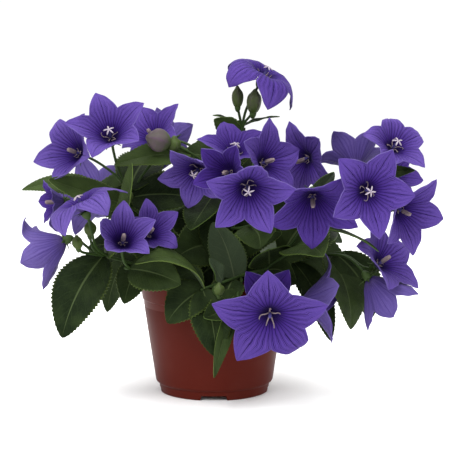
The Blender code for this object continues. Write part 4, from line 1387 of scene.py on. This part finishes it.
def petal_pattern() -> bpy.types.NodeTree:
    """Veins, streaks and margin of a petal, from its UV map and its seed."""
    tree, web, given, out = start_group("petal_pattern", ("Across", "Along", "Seed"),
                                        ("Veins", "Streaks", "Margin"))
    side = web.times(web.minus(given["Across"], 0.5), 2.0)
    along = given["Along"]

    def field_of(stretch: float, run: float) -> bpy.types.NodeSocket:
        """Noise coordinates stretched over the petal."""
        return web.node("ShaderNodeCombineXYZ", {
            "X": web.times(side, stretch), "Y": web.times(along, run),
            "Z": given["Seed"]}).outputs[0]

    sway = web.minus(web.noise(field_of(1.6, 5.0), 1.0), 0.5)
    sway = web.times(sway, web.times(along, 0.55))
    crooked = web.minus(web.noise(field_of(5.0, 14.0), 1.0), 0.5)
    sway = web.plus(sway, web.times(crooked, 0.05))
    ray = web.plus(side, sway)
    width = web.plus(web.times(web.sum("POWER", web.rest(along), 3.0), 0.26), 0.058)

    def lines_of(count: float, shift: float, thin: float) -> bpy.types.NodeSocket:
        """Thin lines at equal shares across the petal."""
        place = web.plus(web.times(ray, count), shift)
        near = web.size(web.minus(web.sum("FRACT", place), 0.5))
        edge = web.times(width, thin)
        return web.rest(web.fade(near, web.times(edge, 0.35), edge))

    main_veins = web.times(lines_of(3.5, 0.5, 1.0), web.rest(web.fade(along, 0.55, 0.96)))
    forks = web.times(lines_of(7.0, 0.0, 1.3),
                      web.times(web.fade(along, 0.28, 0.46),
                                web.minus(0.75, web.fade(along, 0.55, 0.9))))
    rib_near = web.size(web.plus(side, web.times(crooked, 0.03)))
    rib = web.rest(web.fade(rib_near, 0.008, 0.04))
    rib = web.times(rib, web.rest(web.fade(along, 0.8, 1.0)))
    slant = web.plus(web.times(along, 15.0), web.times(web.size(side), -5.0))
    slant = web.plus(slant, web.times(crooked, 3.0))
    near = web.size(web.minus(web.sum("FRACT", slant), 0.5))
    cross = web.times(web.rest(web.fade(near, 0.03, 0.09)),
                      web.times(web.fade(along, 0.45, 0.6), 0.28))
    veins = web.sum("MAXIMUM", web.sum("MAXIMUM", main_veins, forks, True),
                    web.sum("MAXIMUM", rib, cross))
    web.feed(out.inputs["Veins"], web.times(veins, 1.0, True))
    web.feed(out.inputs["Streaks"], web.noise(field_of(7.0, 1.3), 1.0, 3.0))
    margin = web.fade(web.size(side), 0.9, 1.0)
    web.feed(out.inputs["Margin"], web.times(margin, web.fade(along, 0.52, 0.62)))
    return tree


def leaf_pattern() -> bpy.types.NodeTree:
    """Rib, side veins, net and margin of a leaf, from its UV map and its seed."""
    tree, web, given, out = start_group("leaf_pattern", ("Across", "Along", "Seed"),
                                        ("Rib", "Veins", "Net", "Margin"))
    side = web.times(web.minus(given["Across"], 0.5), 2.0)
    reach = web.size(side)
    along = given["Along"]
    spot = web.node("ShaderNodeCombineXYZ", {"X": web.times(side, 2.0),
                                             "Y": web.times(along, 5.0),
                                             "Z": given["Seed"]}).outputs[0]
    sway = web.minus(web.noise(spot, 2.0), 0.5)
    rib_width = web.plus(web.times(web.rest(along), 0.05), 0.022)
    rib = web.rest(web.fade(reach, web.times(rib_width, 0.4), rib_width))
    place = web.minus(web.times(along, LEAF_VEINS), web.times(reach, LEAF_SLANT))
    place = web.plus(place, web.times(sway, 0.6))
    near = web.size(web.minus(web.sum("FRACT", place), 0.5))
    veins = web.rest(web.fade(near, 0.02, 0.075))
    veins = web.times(veins, web.rest(web.fade(reach, 0.7, 0.98)))
    cells = web.node("ShaderNodeTexVoronoi", {"Vector": spot, "Scale": 4.5},
                     feature="DISTANCE_TO_EDGE").outputs["Distance"]
    net = web.rest(web.fade(cells, 0.01, 0.09))
    for label, value in (("Rib", rib), ("Veins", veins), ("Net", net),
                         ("Margin", web.fade(reach, 0.88, 1.0))):
        web.feed(out.inputs[label], value)
    return tree


def drawn_on(web: Web, pattern: bpy.types.NodeTree) -> tuple[object, object]:
    """Lays a pattern on a sheet by its UV map and its seed.

    Args:
        web: The material's web of nodes.
        pattern: The pattern's node group.

    Returns:
        The UV map's two parts by name, and the pattern's outputs by name.
    """
    surface = web.node("ShaderNodeUVMap", uv_map="surface").outputs["UV"]
    parts = web.node("ShaderNodeSeparateXYZ", {"Vector": surface}).outputs
    drawn = web.node("ShaderNodeGroup", node_tree=pattern)
    web.feed(drawn.inputs["Across"], parts["X"])
    web.feed(drawn.inputs["Along"], parts["Y"])
    web.feed(drawn.inputs["Seed"], web.layer("seed"))
    return parts, drawn.outputs


@dataclass(frozen=True)
class PetalFinish:
    """Matte violet petal skin with dark veins.

    Args:
        name: The material's name.
        throat: Colour in the throat, its own dark colour deepened by painted shade.
        deep: Colour of the cup, its own colour darkened by painted shade.
        wide: Colour of the open lobes.
        pale: Colour of a pale bloom and of the margin.
        vein: Colour of the veins.
        vein_share: How strongly the veins show.
    """

    name: str
    throat: Colour
    deep: Colour
    wide: Colour
    pale: Colour
    vein: Colour
    vein_share: float

    def build(self, pattern: bpy.types.NodeTree) -> bpy.types.Material:
        """Makes the material.

        Args:
            pattern: The petal pattern's node group.

        Returns:
            The material.
        """
        material, web, shader = start_finish(
            self.name, Roughness=0.6, Sheen_Weight=0.03, Sheen_Roughness=0.45,
            Specular_IOR_Level=0.03)
        shader.inputs["Sheen Tint"].default_value = (0.72, 0.66, 1.0, 1.0)
        parts, drawn = drawn_on(web, pattern)
        tone = web.layer("tone")
        # Painted shade over the petal's own colour: darker from the open lobes into the cup and
        # darkest in the throat, where shade falls.
        body = web.ramp(parts["Y"], ((0.06, self.throat), (0.24, self.deep), (0.52, self.wide),
                                     (1.0, self.wide)))
        # Painted light and shade from the bloom's tone, over its own colour: lit blooms turn paler
        # towards the tips, blooms in shade turn darker towards the cup colour.
        paler_and_lit = web.times(web.fade(parts["Y"], 0.1, 0.8), web.times(tone, 0.75))
        body = web.mix(paler_and_lit, body, self.pale)
        darker_and_shaded = web.fade(tone, 0.35, 0.0)
        body = web.mix(web.times(darker_and_shaded, 0.6), body, self.deep)
        shade = web.plus(web.times(drawn["Streaks"], 0.7), 0.62)
        body = web.mix(1.0, body, web.node("ShaderNodeCombineColor", {
            "Red": shade, "Green": shade, "Blue": web.sum("POWER", shade, 0.6)}).outputs[0],
            "MULTIPLY")
        body = web.mix(web.times(drawn["Margin"], 0.5), body, self.pale)
        veined = web.times(drawn["Veins"], self.vein_share)
        body = web.mix(veined, body, self.vein)
        web.feed(shader.inputs["Base Color"], body)
        fine = web.noise(web.spot(), 1500.0, 2.0)
        relief = web.minus(web.times(fine, 0.4), veined)
        web.feed(shader.inputs["Normal"], web.bump(relief, 0.5, 0.00035))
        web.feed(shader.inputs["Roughness"], web.plus(web.times(fine, 0.2), 0.44))
        return material


@dataclass(frozen=True)
class LeafFinish:
    """Leaf skin with a pale rib, side veins and a bright margin.

    Args:
        name: The material's name.
        dark: Colour between the veins of an old leaf.
        young: Colour between the veins of a young leaf.
        rib: Colour of the middle rib.
        vein: Colour of the side veins.
        margin: Colour of the margin.
        gloss: Roughness of the skin.
    """

    name: str
    dark: Colour
    young: Colour
    rib: Colour
    vein: Colour
    margin: Colour
    gloss: float

    def build(self, pattern: bpy.types.NodeTree) -> bpy.types.Material:
        """Makes the material.

        Args:
            pattern: The leaf pattern's node group.

        Returns:
            The material.
        """
        material, web, shader = start_finish(self.name, Specular_IOR_Level=0.06)
        drawn = drawn_on(web, pattern)[1]
        blotch = web.noise(web.spot(), 90.0, 3.0)
        share = web.plus(web.layer("tone"), web.times(web.minus(blotch, 0.5), 0.9), True)
        body = web.mix(share, self.dark, self.young)
        body = web.mix(web.times(drawn["Net"], 0.16), body, self.vein)
        body = web.mix(web.times(drawn["Veins"], 0.34), body, self.vein)
        body = web.mix(web.times(drawn["Rib"], 0.75), body, self.rib)
        body = web.mix(web.times(drawn["Margin"], 0.5), body, self.margin)
        web.feed(shader.inputs["Base Color"], body)
        fine = web.noise(web.spot(), 1200.0, 2.0)
        sunk = web.sum("MAXIMUM", drawn["Rib"], web.times(drawn["Veins"], 0.7))
        sunk = web.sum("MAXIMUM", sunk, web.times(drawn["Net"], 0.35))
        relief = web.minus(web.times(fine, 0.25), sunk)
        web.feed(shader.inputs["Normal"], web.bump(relief, 0.6, 0.0005))
        web.feed(shader.inputs["Roughness"], web.plus(web.times(fine, 0.16), self.gloss))
        return material


@dataclass(frozen=True)
class SkinFinish:
    """Plain skin that shifts between two colours by tone and mottling.

    Args:
        name: The material's name.
        first: Colour at tone 0.
        second: Colour at tone 1.
        roughness: Its roughness.
        grain: Scale of the mottling, per metre.
        mottle: How much the mottling shifts the colour.
        relief: Depth of the fine relief, in metres.
    """

    name: str
    first: Colour
    second: Colour
    roughness: float
    grain: float = 300.0
    mottle: float = 0.6
    relief: float = 0.0002

    def build(self) -> bpy.types.Material:
        """Makes the material."""
        material, web, shader = start_finish(self.name, Specular_IOR_Level=0.12)
        patch = web.minus(web.noise(web.spot(), self.grain, 3.0), 0.5)
        share = web.plus(web.layer("tone"), web.times(patch, self.mottle), True)
        web.feed(shader.inputs["Base Color"], web.mix(share, self.first, self.second))
        fine = web.noise(web.spot(), self.grain * 5, 2.0)
        web.feed(shader.inputs["Normal"], web.bump(fine, 0.5, self.relief))
        web.feed(shader.inputs["Roughness"], web.plus(web.times(fine, 0.2), self.roughness - 0.1))
        return material


@dataclass(frozen=True)
class PotFinish:
    """Satin recycled plastic with faint dust and turning marks.

    Args:
        name: The material's name.
        body: Colour of the plastic.
        faded: Colour where it is rubbed or dusty.
    """

    name: str
    body: Colour
    faded: Colour

    def build(self) -> bpy.types.Material:
        """Makes the material."""
        material, web, shader = start_finish(self.name, Specular_IOR_Level=0.06)
        spot = web.spot()
        cloud = web.noise(spot, 38.0, 4.0)
        parts = web.node("ShaderNodeSeparateXYZ", {"Vector": spot}).outputs
        band = web.node("ShaderNodeCombineXYZ", {
            "X": web.times(parts["X"], 6.0), "Y": web.times(parts["Y"], 6.0),
            "Z": web.times(parts["Z"], 700.0)}).outputs[0]
        marks = web.noise(band, 1.0, 2.0)
        dust = web.times(web.fade(cloud, 0.48, 0.75), 0.30)
        speck = web.fade(web.noise(spot, 900.0, 2.0), 0.66, 0.74)
        dust = web.plus(dust, web.times(speck, 0.12), True)
        web.feed(shader.inputs["Base Color"], web.mix(dust, self.body, self.faded))
        web.feed(shader.inputs["Roughness"], web.plus(web.times(cloud, 0.22), 0.34))
        relief = web.plus(web.times(marks, 0.5), web.noise(spot, 1400.0, 2.0))
        web.feed(shader.inputs["Normal"], web.bump(relief, 0.25, 0.00012))
        return material


@dataclass(frozen=True)
class Lamp:
    """Soft square lamp.

    Args:
        name: Its name.
        place: Its place in the frame, in metres.
        size: Length of its side, in metres.
        power: Its power, in watts.
    """

    name: str
    place: Place
    size: float
    power: float


@dataclass
class Studio:
    """Pale floor, soft lights and the camera at the photograph's view.

    Args:
        focal: Focal length, in millimetres.
        distance: Camera to target, in metres.
        pitch: Degrees that the camera looks down.
        target: Point in the middle of the picture, in millimetres.
        aim: Point that the lamps face, in metres.
        glow: Strength of the white surroundings.
        lamps: The lamps.
    """

    focal: float = 100.85
    distance: float = 0.912
    pitch: float = 5.5
    target: Place = (10.5, 0.0, 115.4)
    aim: Place = (0, 0, 0.11)
    glow: float = 1.04
    lamps: tuple[Lamp, ...] = (Lamp("key", (-0.7, -1.3, 1.6), 1.0, 36.0),
                               Lamp("fill", (1.3, -1.2, 0.7), 1.2, 7.0),
                               Lamp("top", (0.1, 0.3, 1.7), 1.3, 24.0))

    def build(self) -> None:
        """Makes the floor, the lights and the camera."""
        self.floor()
        for lamp in self.lamps:
            self.hang(lamp)
        bpy.context.scene.view_settings.view_transform = "Standard"
        world = bpy.data.worlds.new("studio")
        world.use_nodes = True
        back = world.node_tree.nodes["Background"]
        back.inputs["Color"].default_value = (1.0, 1.0, 1.0, 1.0)
        back.inputs["Strength"].default_value = self.glow
        bpy.context.scene.world = world
        lens = bpy.data.cameras.new("view")
        lens.lens = self.focal
        lens.sensor_width = 36.0
        lens.clip_start = 0.01
        lens.clip_end = 60.0
        camera = bpy.data.objects.new("view", lens)
        bpy.context.scene.collection.objects.link(camera)
        pitch = math.radians(self.pitch)
        away = Vector((0, -math.cos(pitch), math.sin(pitch)))
        camera.location = in_metres(Vector(self.target)) + away * self.distance
        camera.rotation_mode = "QUATERNION"
        camera.rotation_quaternion = (-away).to_track_quat("-Z", "Y")
        bpy.context.scene.camera = camera

    @staticmethod
    def floor() -> None:
        """Makes the floor that the pot stands on."""
        bm = bmesh.new()
        bmesh.ops.create_circle(bm, cap_ends=True, segments=96, radius=14.0)
        mesh = bpy.data.meshes.new("floor")
        bm.to_mesh(mesh)
        bm.free()
        item = bpy.data.objects.new("floor", mesh)
        bpy.context.scene.collection.objects.link(item)
        mesh.materials.append(start_finish("floor", Roughness=0.9,
                                           Base_Color=(0.98, 0.98, 0.98))[0])

    def hang(self, lamp: Lamp) -> None:
        """Makes a lamp that faces the plant."""
        light = bpy.data.lights.new(lamp.name, "AREA")
        light.size = lamp.size
        light.energy = lamp.power
        item = bpy.data.objects.new(lamp.name, light)
        bpy.context.scene.collection.objects.link(item)
        item.location = lamp.place
        item.rotation_mode = "QUATERNION"
        item.rotation_quaternion = (Vector(self.aim) - Vector(lamp.place)).to_track_quat("-Z", "Y")


# The throat and deep colours hold painted shade for the inside of the cup.
PETAL_INSIDE = PetalFinish(
    "petal_inside", throat=(0.007, 0.0025, 0.032), deep=(0.026, 0.009, 0.112),
    wide=(0.052, 0.023, 0.178), pale=(0.112, 0.075, 0.265), vein=(0.007, 0.0025, 0.038),
    vein_share=0.9)
PETAL_OUTSIDE = PetalFinish(
    "petal_outside", throat=(0.060, 0.042, 0.135), deep=(0.056, 0.037, 0.155),
    wide=(0.075, 0.050, 0.200), pale=(0.122, 0.090, 0.265), vein=(0.028, 0.014, 0.095),
    vein_share=0.6)
LEAF_TOP = LeafFinish(
    "leaf_top", dark=(0.0058, 0.0115, 0.0030), young=(0.042, 0.066, 0.018),
    rib=(0.058, 0.082, 0.030), vein=(0.018, 0.032, 0.009), margin=(0.056, 0.080, 0.014),
    gloss=0.46)
LEAF_UNDER = LeafFinish(
    "leaf_under", dark=(0.034, 0.050, 0.027), young=(0.052, 0.074, 0.036),
    rib=(0.078, 0.100, 0.052), vein=(0.056, 0.078, 0.040), margin=(0.060, 0.088, 0.026),
    gloss=0.58)
LEAF_EDGE = SkinFinish("leaf_edge", (0.050, 0.088, 0.016), (0.080, 0.120, 0.024), 0.5)
STALK = SkinFinish("stalk", (0.022, 0.042, 0.010), (0.052, 0.082, 0.022), 0.5)
BUD_SKIN = SkinFinish("bud_skin", (0.044, 0.068, 0.015), (0.070, 0.043, 0.064), 0.5)
STYLE = SkinFinish("style", (0.05, 0.04, 0.15), (0.15, 0.13, 0.24), 0.5)
STIGMA = SkinFinish("stigma", (0.34, 0.29, 0.34), (0.42, 0.38, 0.39), 0.6)
ANTHER = SkinFinish("anther", (0.19, 0.145, 0.15), (0.31, 0.24, 0.21), 0.7)
POT_PLASTIC = PotFinish("pot_plastic_fine", (0.072, 0.0085, 0.0045), (0.092, 0.020, 0.014))
PEAT = SkinFinish("peat_fine", (0.006, 0.004, 0.0025), (0.025, 0.016, 0.010), 0.95)
WHITE_GRAIN = SkinFinish("white_grain", (0.30, 0.29, 0.26), (0.42, 0.41, 0.38), 0.9)


def main() -> None:
    """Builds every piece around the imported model."""
    logging.basicConfig(level=logging.INFO, format="%(name)s: %(message)s")
    Studio().build()
    pattern = petal_pattern()
    inside, outside = PETAL_INSIDE.build(pattern), PETAL_OUTSIDE.build(pattern)
    petals = [inside, outside, outside]
    middles = [STYLE.build(), STIGMA.build(), ANTHER.build()]
    veins = leaf_pattern()
    blades = [LEAF_TOP.build(veins), LEAF_UNDER.build(veins), LEAF_EDGE.build()]
    green = [STALK.build(), BUD_SKIN.build()]
    Pot(POT_PLASTIC.build()).build()
    Soil(PEAT.build(), WHITE_GRAIN.build()).build()
    for key, stem in STEMS.items():
        Shoot(key, stem, green, blades).build()
    for key, bloom in BLOOMS.items():
        Corolla(key, bloom, petals).build()
        Middle(key, bloom, middles).build()


if __name__ == "__main__":
    main()
